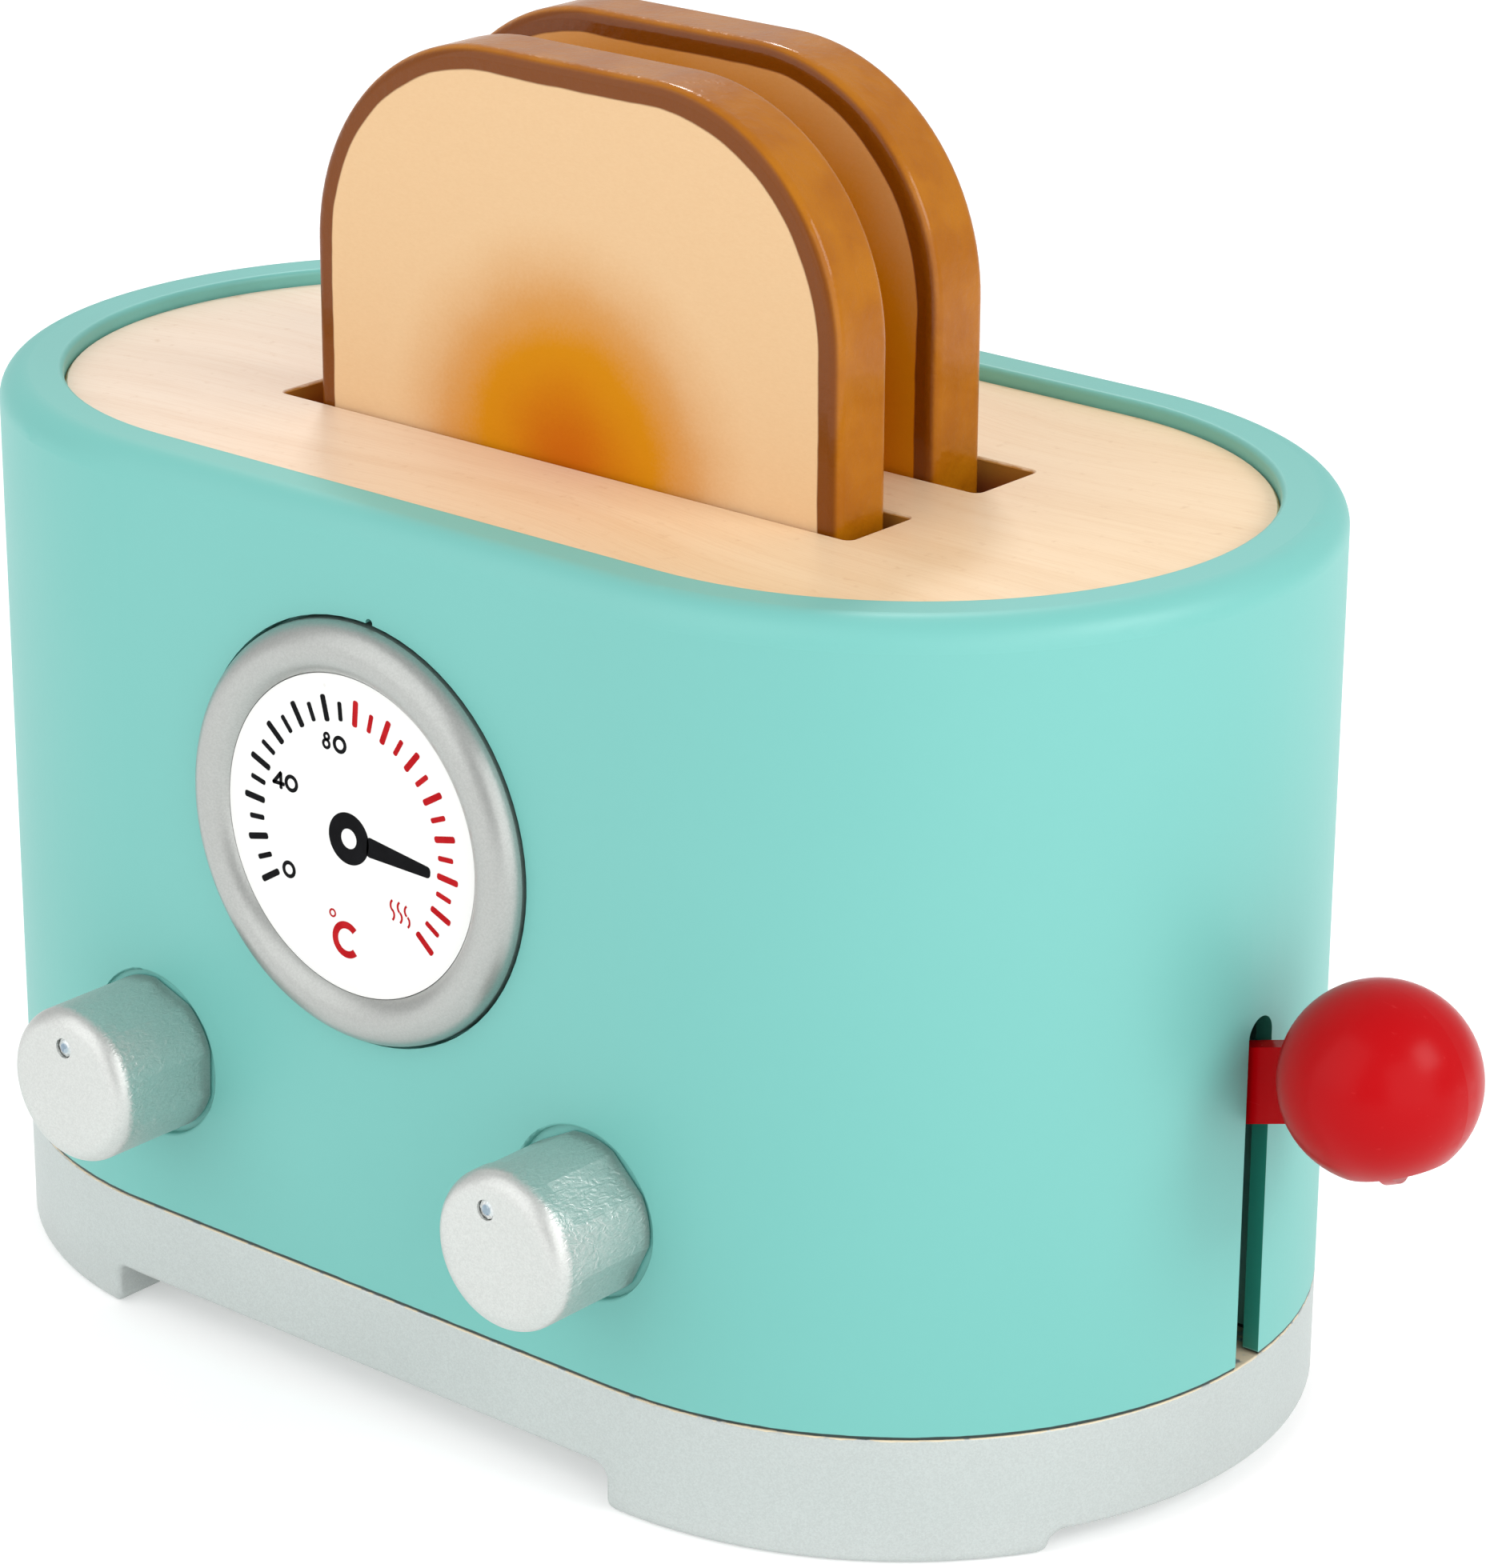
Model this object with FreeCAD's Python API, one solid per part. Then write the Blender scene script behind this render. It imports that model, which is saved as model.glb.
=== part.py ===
"""Wooden play toaster: a hollow oval body on four feet, with a rocking lever that lifts two bread slices.

Frame: millimetres, +X towards the lever's ball, -Y towards the gauge and the knobs, +Z up.
The origin lies on the floor, under the middle of the body.
How it works: the lever rocks on a pin behind the slots. Its inner end carries a cross pin in the slot
of a yoke, so pushing the ball down raises the carriage, and the slices with it, along two guide rods.
The weight of the carriage brings the lever back up.
"""
import FreeCAD, Part
import math
import os

V = FreeCAD.Vector
X_AXIS = V(1, 0, 0)
Y_AXIS = V(0, 1, 0)
Z_AXIS = V(0, 0, 1)
ORIGIN = V(0, 0, 0)

# ---- fits and cuts that many pieces share --------------------------------------------------------
running_fit = 0.06         # radial, for what turns or slides on a shaft
seat_fit = 0.02            # radial, for what is pressed or screwed in
end_play = 0.1
cheek_gap = 0.3            # beside the lever's hub and nose
head_gap = 0.3             # around a sunk screw head
overrun = 1.0              # how far a cut runs past the face that it opens
hair = 1e-4                # what counts as the same height or length

# ---- body: outline and heights -------------------------------------------------------------------
body_length = 200.0
body_width = 113.6
body_height = 125.8        # floor to the top of the rim
base_height = 17.7         # floor to the seam under the painted shell
rim_width = 8.8            # painted rim seen around the top plate
shell_wall = 10.8          # wall below the ledge that carries the plate
rim_outer_round = 4.0
rim_inner_round = 0.8
seam_round = 0.3           # softened edges that make the seam line

# ---- top plate -----------------------------------------------------------------------------------
plate_drop = 2.1           # plate surface below the rim
plate_thickness = 12.0
plate_gap = 0.1            # plate edge to rim
plate_edge_break = 0.4
slot_length = 99.4
slot_width = 12.6
slot_pitch = 26.0          # front slot's middle to rear slot's middle
slot_corner = 1.0
slot_edge_break = 0.35

# ---- arches in the base's lower rim, which leave four feet ---------------------------------------
front_arch_past = 5.8      # runs on past the start of the left round end; the same at the back
front_arch_short = 1.6     # stops short of the right round end
front_arch_height = 6.2
end_arch_height = 3.1
end_arch_front_share = 0.50    # of the end's radius, from the middle line; the same at both ends
end_arch_back_share = 0.66
arch_reach_share = 0.32    # of the end's radius: how far an arch runs in under the rim
arch_corner = 2.0
arch_mouth_round = 0.8
foot_bottom_round = 1.5

# ---- gauge ---------------------------------------------------------------------------------------
gauge_z = 82.9
bezel_outer_radius = 28.5
bezel_inner_radius = 21.8
bezel_shoulder = 0.3       # outer edge of the half-round, proud of the shell
bezel_crown = 3.4          # top of the half-round, proud of the shell
dial_proud = 1.7           # face of the dial, proud of the shell
dial_gap = 0.1
gauge_recess_depth = 3.0
gauge_recess_gap = 0.45
setting_notch_radius = 0.6
setting_notch_x = 2.5      # notch in the recess's upper edge, where the ring was lined up

# ---- knobs ---------------------------------------------------------------------------------------
knob_spacing = 77.8
knob_middle_x = -0.95      # middle between the two knobs
knob_z = 41.05
knob_radius = 10.8
knob_proud = 16.3          # front face, proud of the shell
knob_lip_round = 2.5
knob_recess_depth = 0.9
knob_recess_gap = 0.8      # around the knob
knob_recess_round = 0.4
knob_back_gap = 0.3        # behind the knob
flat_count = 5
flat_step = 4.4            # plain lip in front of the flats
flat_depth = 0.5
left_flat_angle = 70.0
right_flat_angle = 46.0
jewel_radius = 1.35
jewel_depth = 1.5
jewel_table_radius = 0.75
jewel_sink = 0.15          # table below the knob's face
jewel_crown = 0.3          # table to the widest line
jewel_gap = 0.05
jewel_facets = 8
jewel_offset = 5.9         # from the knob's axis
left_jewel_angle = 89.0
right_jewel_angle = 105.0

# ---- knob fixing ---------------------------------------------------------------------------------
knob_screw_radius = 2.0
knob_screw_bite = 11.0     # length inside the knob
knob_screw_head_radius = 4.0
knob_screw_head_height = 2.4
bush_wall = 2.0
bush_flange_radius = 6.5
bush_flange = 1.2
bush_seat_depth = 0.4      # flat milled into the wall for the flange
bush_seat_gap = 0.2

# ---- lever ---------------------------------------------------------------------------------------
lever_offset = 2.2         # lever's middle plane, behind the body's
pivot_inset = 45.6         # pivot's axis, in from the end of the body
pivot_z = 43.8
lever_rest_angle = 16.5    # outer end up at rest
lever_swing = 25.0
ball_reach = 66.3          # pivot to the ball's centre
ball_radius = 12.9
ball_pocket_radius = 7.1
ball_wall = 2.4
ball_rib = 1.7
ball_rib_angle = -67.0
blade_height = 10.1
blade_thickness = 3.2
hub_radius = 7.0
hub_width = 10.0
nose_reach = 56.0          # pivot to the cross pin
nose_radius = 4.4
nose_width = 6.0
arm_thickness = 4.4
arm_root_inset = 1.0       # arm's outline, inside the hub's
arm_tip_height = 7.0
arm_pocket_depth = 1.2
arm_flange = 1.6
arm_pocket_margin = 3.0

# ---- lever slot in the shell ---------------------------------------------------------------------
lever_slot_width = 5.3
lever_slot_top = 66.3
lever_slot_corner = 0.8
lever_slot_wall = 2.6      # wall left beside the slot by the relief inside
relief_width = 16.0
relief_height = 5.5        # above the slot's top
relief_corner = 3.0

# ---- pivot ---------------------------------------------------------------------------------------
pivot_pin_radius = 2.5
pivot_pin_overhang = 2.4   # beyond each cheek
pivot_pin_chamfer = 0.4
cheek_thickness = 5.0
cheek_radius = 8.0
bracket_length = 46.0
bracket_width = 30.0
bracket_flange = 4.0
bracket_corner = 4.0
clip_radius = 5.5
clip_thickness = 0.9
clip_dome = 0.7
bracket_screw_x = 17.0     # from the pivot's axis
bracket_screw_y = 9.8

# ---- carriage and its guides ---------------------------------------------------------------------
slice_rest_height = 81.5   # underside of the slices at rest
groove_depth = 5.0
carriage_thickness = 12.0
carriage_length = 104.0
carriage_side_wall = 3.9   # outside each groove
carriage_corner = 4.0
ear_width = 20.0
ear_reach = 8.0            # beyond the guide rod's axis
rod_radius = 2.5
rod_spacing = 62.0
rod_socket_depth = 6.0
guide_bush_wall = 1.9
guide_flange_radius = 6.2
guide_flange = 1.2
felt_thickness = 2.0
sleeve_radius = 5.8
sleeve_bore_gap = 0.4

# ---- yoke ----------------------------------------------------------------------------------------
lift_pin_radius = 2.0
lift_pin_overhang = 1.5
yoke_flange_length = 36.0
yoke_flange = 4.0
yoke_corner = 0.5
yoke_cheek = 4.0
yoke_cheek_length = 18.0
yoke_foot = 6.0            # below the pin's axis
yoke_foot_round = 4.8
yoke_slot_gap = 0.35
yoke_screw_x = 13.0

# ---- bread slices --------------------------------------------------------------------------------
slice_width = 90.4
slice_height = 95.3
slice_thickness = 10.4
slice_shoulder = 31.0      # radius of the upper corners
slice_lower_corner = 5.0
slice_edge_round = 1.6
slice_lean = 0.75          # both slices lean to the front of their slots
front_slice_x = 2.1
rear_slice_x = -3.0

# ---- screws --------------------------------------------------------------------------------------
base_screw_radius = 1.9
base_screw_head = 3.7
base_screw_head_drop = 4.0
base_screw_bite = 14.0
base_screw_angle = 60.0    # round the end of the body, from its middle line
small_screw_radius = 1.5   # for the bracket and the yoke
small_screw_head = 2.9
small_screw_bite = 7.0
small_screw_spare = 0.5    # hole beyond the point
point_length = 1.6         # pointed end, in shank radii
point_blunt = 0.3          # its tip's radius, in shank radii
cross_reach = 0.6          # cross recess, in head radii
cross_width = 0.22         # half of its arm's width, in shank radii
cross_depth = 0.6          # its depth, in head heights

# ---- places that follow from the sizes above -----------------------------------------------------
end_radius = body_width / 2
end_centre_x = body_length / 2 - end_radius
front_y = -end_radius
plate_top = body_height - plate_drop
plate_bottom = plate_top - plate_thickness
carriage_bottom = slice_rest_height + groove_depth - carriage_thickness
carriage_top = carriage_bottom + carriage_thickness
wall_middle = end_radius - shell_wall / 2
pivot_x = body_length / 2 - pivot_inset
pivot = V(pivot_x, lever_offset, pivot_z)
fall = math.radians(lever_rest_angle)
rise = math.radians(lever_swing - lever_rest_angle)
pin_x_low = pivot_x - nose_reach * math.cos(fall)
pin_x_high = pivot_x - nose_reach
pin_z_rest = pivot_z - nose_reach * math.sin(fall)
lift_travel = nose_reach * (math.sin(fall) + math.sin(rise))
slot_places = [-slot_pitch / 2, slot_pitch / 2]
knob_places = {"left": knob_middle_x - knob_spacing / 2, "right": knob_middle_x + knob_spacing / 2}
rod_places = [-rod_spacing / 2, rod_spacing / 2]
cheek_inner = hub_width / 2 + cheek_gap
cheek_outer = cheek_inner + cheek_thickness
yoke_inner = nose_width / 2 + cheek_gap
yoke_outer = yoke_inner + yoke_cheek
yoke_x = (pin_x_low + pin_x_high) / 2
yoke_flange_bottom = carriage_bottom - yoke_flange
bracket_top = base_height + bracket_flange
recess_floor = front_y + gauge_recess_depth
gauge_recess_radius = bezel_outer_radius + gauge_recess_gap
knob_recess_floor = front_y + knob_recess_depth
inner_wall_y = front_y + shell_wall
bush_seat_y = inner_wall_y - bush_seat_depth
bush_face_y = bush_seat_y + bush_flange
bush_radius = knob_screw_radius + running_fit + bush_wall
knob_front = front_y - knob_proud
knob_back = knob_recess_floor - knob_back_gap
guide_bush_radius = rod_radius + running_fit + guide_bush_wall


def base_screw_places():
    """One screw in each foot, on the middle line of the shell's wall."""
    reach_x = wall_middle * math.cos(math.radians(base_screw_angle))
    reach_y = wall_middle * math.sin(math.radians(base_screw_angle))
    return [(sx * (end_centre_x + reach_x), sy * reach_y) for sx in (-1, 1) for sy in (-1, 1)]


def bracket_screw_places():
    """Four screws that hold the pivot bracket down."""
    places = []
    for sx in (-1, 1):
        for sy in (-1, 1):
            places.append((pivot_x + sx * bracket_screw_x, lever_offset + sy * bracket_screw_y))
    return places


def yoke_screw_places():
    """Two screws that hold the yoke under the carriage."""
    return [(yoke_x - yoke_screw_x, lever_offset), (yoke_x + yoke_screw_x, lever_offset)]


# ---- helpers -------------------------------------------------------------------------------------
def line(start, end):
    """Straight edge."""
    return Part.LineSegment(start, end).toShape()


def arc(start, middle, end):
    """Arc through three points."""
    return Part.Arc(start, middle, end).toShape()


def stadium(length, width, z, height):
    """Solid with straight sides and half-round ends, standing on z."""
    radius = width / 2
    half = length / 2 - radius
    edges = [
        line(V(-half, -radius, z), V(half, -radius, z)),
        arc(V(half, -radius, z), V(half + radius, 0, z), V(half, radius, z)),
        line(V(half, radius, z), V(-half, radius, z)),
        arc(V(-half, radius, z), V(-half - radius, 0, z), V(-half, -radius, z)),
    ]
    return Part.Face(Part.Wire(edges)).extrude(V(0, 0, height))


def inset_stadium(inset, z0, z1):
    """The body's outline drawn in by an inset, from z0 to z1."""
    return stadium(body_length - 2 * inset, body_width - 2 * inset, z0, z1 - z0)


def box(x0, x1, y0, y1, z0, z1):
    """Box between two corners."""
    return Part.makeBox(x1 - x0, y1 - y0, z1 - z0, V(x0, y0, z0))


def rod_y(radius, y0, y1, x, z):
    """Cylinder along Y from y0 to y1."""
    return Part.makeCylinder(radius, y1 - y0, V(x, y0, z), Y_AXIS)


def rod_z(radius, z0, z1, x, y):
    """Cylinder along Z from z0 to z1."""
    return Part.makeCylinder(radius, z1 - z0, V(x, y, z0), Z_AXIS)


def cone_z(radius, top_radius, z0, height, x, y):
    """Cone along Z, standing on z0."""
    return Part.makeCone(radius, top_radius, height, V(x, y, z0), Z_AXIS)


def upright_edges(shape):
    """Straight edges that run along Z."""
    return [e for e in shape.Edges if e.BoundBox.XLength < hair and e.BoundBox.YLength < hair]


def edges_at(shape, z):
    """Edges that lie whole at height z."""
    return [e for e in shape.Edges if abs(e.BoundBox.ZMin - z) < hair and abs(e.BoundBox.ZMax - z) < hair]


def rounded_block(x_half, y_half, z0, z1, corner):
    """Block about the Z axis with rounded upright edges."""
    block = box(-x_half, x_half, -y_half, y_half, z0, z1)
    return block.makeFillet(corner, upright_edges(block))


def moved(shape, x, y, z):
    """The shape, shifted."""
    shape.translate(V(x, y, z))
    return shape


def turned(edges, axis_x, axis_y, axis_z):
    """Piece turned about an axis along Y, from an outline in the XY plane that starts at the axis."""
    solid = Part.Face(Part.Wire(edges)).revolve(ORIGIN, Y_AXIS, 360)
    return moved(solid, axis_x, axis_y, axis_z)


def cross_recess(head_radius, shank_radius, depth):
    """Cross recess of a screw, sunk from the origin along +Z."""
    arm = head_radius * cross_reach
    blade = shank_radius * cross_width
    recess = box(-arm, arm, -blade, blade, -overrun, depth)
    return recess.fuse(box(-blade, blade, -arm, arm, -overrun, depth))


def countersunk_screw(radius, head_radius, length):
    """Wood screw along +Z, its flat head's top at the origin, with a cross recess and a pointed end."""
    head = head_radius - radius
    point = radius * point_length
    screw = cone_z(head_radius, radius, 0, head, 0, 0)
    screw = screw.fuse(rod_z(radius, head, length - point, 0, 0))
    screw = screw.fuse(cone_z(radius, radius * point_blunt, length - point, point, 0, 0))
    return screw.cut(cross_recess(head_radius, radius, head * cross_depth)).removeSplitter()


def small_screw(thickness):
    """Screw for the bracket or the yoke, through a flange of this thickness."""
    length = thickness + small_screw_bite - small_screw_spare
    return countersunk_screw(small_screw_radius, small_screw_head, length)


def small_screw_hole(x, y, z0, z1, from_above):
    """Hole through a flange from z0 to z1, sunk for the screw's head on one side."""
    sink = small_screw_head - small_screw_radius
    wide = small_screw_head + seat_fit
    narrow = small_screw_radius + seat_fit
    hole = rod_z(narrow, z0 - overrun, z1 + overrun, x, y)
    if from_above:
        return hole.fuse(cone_z(narrow, wide, z1 - sink, sink, x, y))
    return hole.fuse(cone_z(wide, narrow, z0, sink, x, y))


def at_rest(shape):
    """Lever pieces are drawn level about the origin, then tilted and moved to the pivot."""
    shape.rotate(ORIGIN, Y_AXIS, -lever_rest_angle)
    shape.translate(pivot)
    return shape


# ---- body ----------------------------------------------------------------------------------------
def lever_slot_cut():
    """Slot for the lever: round at the top, open at the seam with softened lower corners."""
    half = lever_slot_width / 2
    corner = lever_slot_corner
    foot = base_height
    spring = lever_slot_top - half
    bend = corner * (1 - math.sqrt(0.5))
    outline = [
        line(V(0, -half - corner, foot), V(0, half + corner, foot)),
        arc(V(0, half + corner, foot), V(0, half + bend, foot + bend), V(0, half, foot + corner)),
        line(V(0, half, foot + corner), V(0, half, spring)),
        arc(V(0, half, spring), V(0, 0, lever_slot_top), V(0, -half, spring)),
        line(V(0, -half, spring), V(0, -half, foot + corner)),
        arc(V(0, -half, foot + corner), V(0, -half - bend, foot + bend), V(0, -half - corner, foot)),
    ]
    cut = Part.Face(Part.Wire(outline)).extrude(V(body_length, 0, 0))
    return moved(cut, end_centre_x, lever_offset, 0)


def lever_relief_cut():
    """Pocket milled inside the end wall, so that the wall is thin beside the slot."""
    top = lever_slot_top + relief_height
    x1 = body_length / 2 - lever_slot_wall
    pocket = box(end_centre_x, x1, -relief_width / 2, relief_width / 2, base_height, top)
    roof = [e for e in edges_at(pocket, top) if e.BoundBox.YLength < hair]
    return moved(pocket.makeFillet(relief_corner, roof), 0, lever_offset, 0)


def knob_seat_cut(x):
    """Shallow recess for a knob with a softened edge, and the stepped hole for its bush."""
    radius = knob_radius + knob_recess_gap
    soft = knob_recess_round
    bend = soft * (1 - math.sqrt(0.5))
    far = knob_recess_depth
    outline = [
        line(V(0, -overrun, 0), V(radius + soft, -overrun, 0)),
        line(V(radius + soft, -overrun, 0), V(radius + soft, 0, 0)),
        arc(V(radius + soft, 0, 0), V(radius + bend, bend, 0), V(radius, soft, 0)),
        line(V(radius, soft, 0), V(radius, far, 0)),
        line(V(radius, far, 0), V(0, far, 0)),
        line(V(0, far, 0), V(0, -overrun, 0)),
    ]
    cut = turned(outline, x, front_y, knob_z)
    inside = inner_wall_y + overrun
    cut = cut.fuse(rod_y(bush_radius + seat_fit, front_y, inside, x, knob_z))
    return cut.fuse(rod_y(bush_flange_radius + bush_seat_gap, bush_seat_y, inside, x, knob_z))


def body_shell():
    """Painted oval wall with a rounded rim, a ledge for the plate, and seats for gauge, knobs and lever."""
    shell = stadium(body_length, body_width, base_height, body_height - base_height)
    shell = shell.makeFillet(rim_outer_round, edges_at(shell, body_height))
    shell = shell.makeFillet(seam_round, edges_at(shell, base_height))
    shell = shell.cut(inset_stadium(shell_wall, base_height, plate_bottom))
    shell = shell.cut(inset_stadium(rim_width, plate_bottom, body_height))
    inner_rim = [e for e in edges_at(shell, body_height) if e.BoundBox.YMax < end_radius - rim_width + hair]
    shell = shell.makeFillet(rim_inner_round, inner_rim)
    shell = shell.cut(rod_y(gauge_recess_radius, front_y - overrun, recess_floor, 0, gauge_z))
    notch_z = gauge_z + gauge_recess_radius
    shell = shell.cut(rod_y(setting_notch_radius, front_y - overrun, recess_floor, setting_notch_x, notch_z))
    for x in knob_places.values():
        shell = shell.cut(knob_seat_cut(x))
    shell = shell.cut(lever_relief_cut())
    shell = shell.cut(lever_slot_cut())
    hole_top = base_height + base_screw_bite + overrun
    for x, y in base_screw_places():
        shell = shell.cut(rod_z(base_screw_radius + seat_fit, base_height, hole_top, x, y))
    return shell.removeSplitter()


def top_plate():
    """Plain wood plate on the ledge, with two slots and blind sockets for the guide rods."""
    plate = inset_stadium(rim_width + plate_gap, plate_bottom, plate_top)
    plate = plate.makeChamfer(plate_edge_break, edges_at(plate, plate_top))
    for y in slot_places:
        slot = rounded_block(slot_length / 2, slot_width / 2, plate_bottom, plate_top, slot_corner)
        plate = plate.cut(moved(slot, 0, y, 0))
    slot_edges = []
    for edge in edges_at(plate, plate_top):
        if abs(edge.BoundBox.YMax) < slot_pitch and edge.BoundBox.XMax < slot_length / 2 + hair:
            slot_edges.append(edge)
    plate = plate.makeChamfer(slot_edge_break, slot_edges)
    for y in rod_places:
        plate = plate.cut(rod_z(rod_radius + seat_fit, plate_bottom, plate_bottom + rod_socket_depth, 0, y))
    return plate


# ---- base ----------------------------------------------------------------------------------------
def rim_arches():
    """Cuts for the arches, all four of one reach: front and back alike, and both ends alike."""
    core = inset_stadium(end_radius * arch_reach_share, -2 * overrun, base_height)
    left = -end_centre_x - front_arch_past
    right = end_centre_x - front_arch_short
    front = -end_radius * end_arch_front_share
    back = end_radius * end_arch_back_share
    long_cut = box(left, right, -body_width, body_width, -overrun, front_arch_height)
    end_cut = box(-body_length, body_length, front, back, -overrun, end_arch_height)
    long_roof = [e for e in edges_at(long_cut, front_arch_height) if e.BoundBox.XLength < hair]
    end_roof = [e for e in edges_at(end_cut, end_arch_height) if e.BoundBox.YLength < hair]
    cuts = long_cut.makeFillet(arch_corner, long_roof).fuse(end_cut.makeFillet(arch_corner, end_roof))
    return cuts.cut(core)


def base_plate():
    """Silver base board, flush with the shell, with arches in its lower rim and sanded lower edges."""
    base = stadium(body_length, body_width, 0, base_height)
    base = base.cut(rim_arches())
    mouths = []
    for edge in upright_edges(base):
        from_end = max(abs(edge.BoundBox.XMin) - end_centre_x, 0)
        on_rim = math.hypot(from_end, edge.BoundBox.YMin) > end_radius - hair
        if on_rim and edge.BoundBox.ZMax < front_arch_height:
            mouths.append(edge)
    base = base.makeFillet(arch_mouth_round, mouths)
    base = base.makeFillet(foot_bottom_round, edges_at(base, 0))
    base = base.makeFillet(seam_round, edges_at(base, base_height))
    sink = base_screw_head - base_screw_radius
    for x, y in base_screw_places():
        base = base.cut(rod_z(base_screw_head + head_gap, -overrun, base_screw_head_drop, x, y))
        wide = base_screw_head + seat_fit
        narrow = base_screw_radius + seat_fit
        base = base.cut(cone_z(wide, narrow, base_screw_head_drop, sink, x, y))
        base = base.cut(rod_z(narrow, base_screw_head_drop, base_height + overrun, x, y))
    socket_foot = base_height - rod_socket_depth
    for y in rod_places:
        base = base.cut(rod_z(rod_radius + seat_fit, socket_foot, base_height + overrun, 0, y))
    hole_foot = base_height - small_screw_bite
    for x, y in bracket_screw_places():
        base = base.cut(rod_z(small_screw_radius + seat_fit, hole_foot, base_height + overrun, x, y))
    return base


def base_screws():
    """Countersunk screws up through the feet into the shell's wall."""
    length = base_height + base_screw_bite - base_screw_head_drop
    screws = []
    for x, y in base_screw_places():
        screw = countersunk_screw(base_screw_radius, base_screw_head, length)
        screws.append(moved(screw, x, y, base_screw_head_drop))
    return Part.makeCompound(screws)


# ---- gauge ---------------------------------------------------------------------------------------
def gauge_bezel():
    """Half-round ring glued into the recess."""
    outer = bezel_outer_radius
    inner = bezel_inner_radius
    floor = gauge_recess_depth
    outline = [
        line(V(outer, floor, 0), V(outer, -bezel_shoulder, 0)),
        arc(V(outer, -bezel_shoulder, 0), V((outer + inner) / 2, -bezel_crown, 0), V(inner, -dial_proud, 0)),
        line(V(inner, -dial_proud, 0), V(inner, floor, 0)),
        line(V(inner, floor, 0), V(outer, floor, 0)),
    ]
    return turned(outline, 0, front_y, gauge_z)


def gauge_dial():
    """Printed disc inside the bezel."""
    return rod_y(bezel_inner_radius - dial_gap, front_y - dial_proud, recess_floor, 0, gauge_z)


# ---- knobs ---------------------------------------------------------------------------------------
def jewel_place(angle):
    """Jewel's place from the knob's axis."""
    turn = math.radians(angle)
    return jewel_offset * math.cos(turn), jewel_offset * math.sin(turn)


def knob(x, flat_angle, jewel_angle):
    """Turned knob with flats behind a plain lip, a set jewel's hole and a screw hole."""
    lip = knob_lip_round
    bend = lip * (1 - math.sqrt(0.5))
    rim = knob_radius - lip
    length = knob_back - knob_front
    outline = [
        line(V(0, length, 0), V(knob_radius, length, 0)),
        line(V(knob_radius, length, 0), V(knob_radius, lip, 0)),
        arc(V(knob_radius, lip, 0), V(knob_radius - bend, bend, 0), V(rim, 0, 0)),
        line(V(rim, 0, 0), V(0, 0, 0)),
        line(V(0, 0, 0), V(0, length, 0)),
    ]
    piece = turned(outline, 0, 0, 0)
    for number in range(flat_count):
        floor = knob_radius - flat_depth
        shave = box(-knob_radius, knob_radius, flat_step, length + overrun, floor, knob_radius + overrun)
        shave.rotate(ORIGIN, Y_AXIS, 90 - flat_angle - number * 360 / flat_count)
        piece = piece.cut(shave)
    jewel_x, jewel_z = jewel_place(jewel_angle)
    piece = piece.cut(rod_y(jewel_radius + jewel_gap, -overrun, jewel_depth, jewel_x, jewel_z))
    piece = piece.cut(rod_y(knob_screw_radius + seat_fit, length - knob_screw_bite, length + overrun, 0, 0))
    return moved(piece, x, knob_front, knob_z)


def facet_ring(radius, y):
    """Closed outline of the jewel's facets at depth y."""
    corners = []
    for number in range(jewel_facets + 1):
        turn = 2 * math.pi * (number % jewel_facets) / jewel_facets
        corners.append(V(radius * math.cos(turn), y, radius * math.sin(turn)))
    return Part.makePolygon(corners)


def jewel(x, angle):
    """Small faceted jewel set just below the knob's face."""
    table = facet_ring(jewel_table_radius, jewel_sink)
    girdle = facet_ring(jewel_radius, jewel_sink + jewel_crown)
    back = facet_ring(jewel_radius, jewel_depth)
    stone = Part.makeLoft([table, girdle, back], True, True)
    jewel_x, jewel_z = jewel_place(angle)
    return moved(stone, x + jewel_x, knob_front, knob_z + jewel_z)


def knob_screw(x):
    """Domed screw from inside the shell into the back of the knob."""
    radius = knob_screw_head_radius
    height = knob_screw_head_height
    head_top = bush_face_y + end_play + height
    dome_radius = (radius ** 2 + height ** 2) / (2 * height)
    dome = Part.makeSphere(dome_radius, V(0, 0, dome_radius))
    screw = dome.common(rod_z(2 * radius, 0, height, 0, 0))
    screw = screw.fuse(rod_z(knob_screw_radius, height, head_top - knob_back + knob_screw_bite, 0, 0))
    screw = screw.cut(cross_recess(radius, knob_screw_radius, height * cross_depth)).removeSplitter()
    screw.rotate(ORIGIN, X_AXIS, 90)
    return moved(screw, x, head_top, knob_z)


def knob_bushes():
    """Flanged sleeves pressed into the shell from inside, one for each knob's screw."""
    sleeves = []
    bore_radius = knob_screw_radius + running_fit
    for x in knob_places.values():
        sleeve = rod_y(bush_radius, knob_recess_floor, bush_seat_y, x, knob_z)
        sleeve = sleeve.fuse(rod_y(bush_flange_radius, bush_seat_y, bush_face_y, x, knob_z))
        bore = rod_y(bore_radius, knob_recess_floor - overrun, bush_face_y + overrun, x, knob_z)
        sleeves.append(sleeve.cut(bore).removeSplitter())
    return Part.makeCompound(sleeves)


# ---- lever ---------------------------------------------------------------------------------------
def lever_ball():
    """Ball of the handle, cored from below in two pockets either side of a rib."""
    centre = V(ball_reach, 0, 0)
    mouth_top = -blade_height / 2 - overrun
    ball = Part.makeSphere(ball_radius, centre)
    core = Part.makeSphere(ball_radius - ball_wall, centre)
    mouth = rod_z(ball_pocket_radius, -2 * ball_radius, mouth_top, ball_reach, 0)
    inside = rod_z(ball_pocket_radius, -ball_radius + ball_wall, mouth_top, ball_reach, 0)
    pocket = core.common(inside).fuse(mouth)
    rib = box(-ball_radius, ball_radius, -ball_rib / 2, ball_rib / 2, -2 * ball_radius, 0)
    rib.rotate(ORIGIN, Z_AXIS, ball_rib_angle)
    return ball.cut(pocket.cut(moved(rib, ball_reach, 0, 0)))


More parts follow.
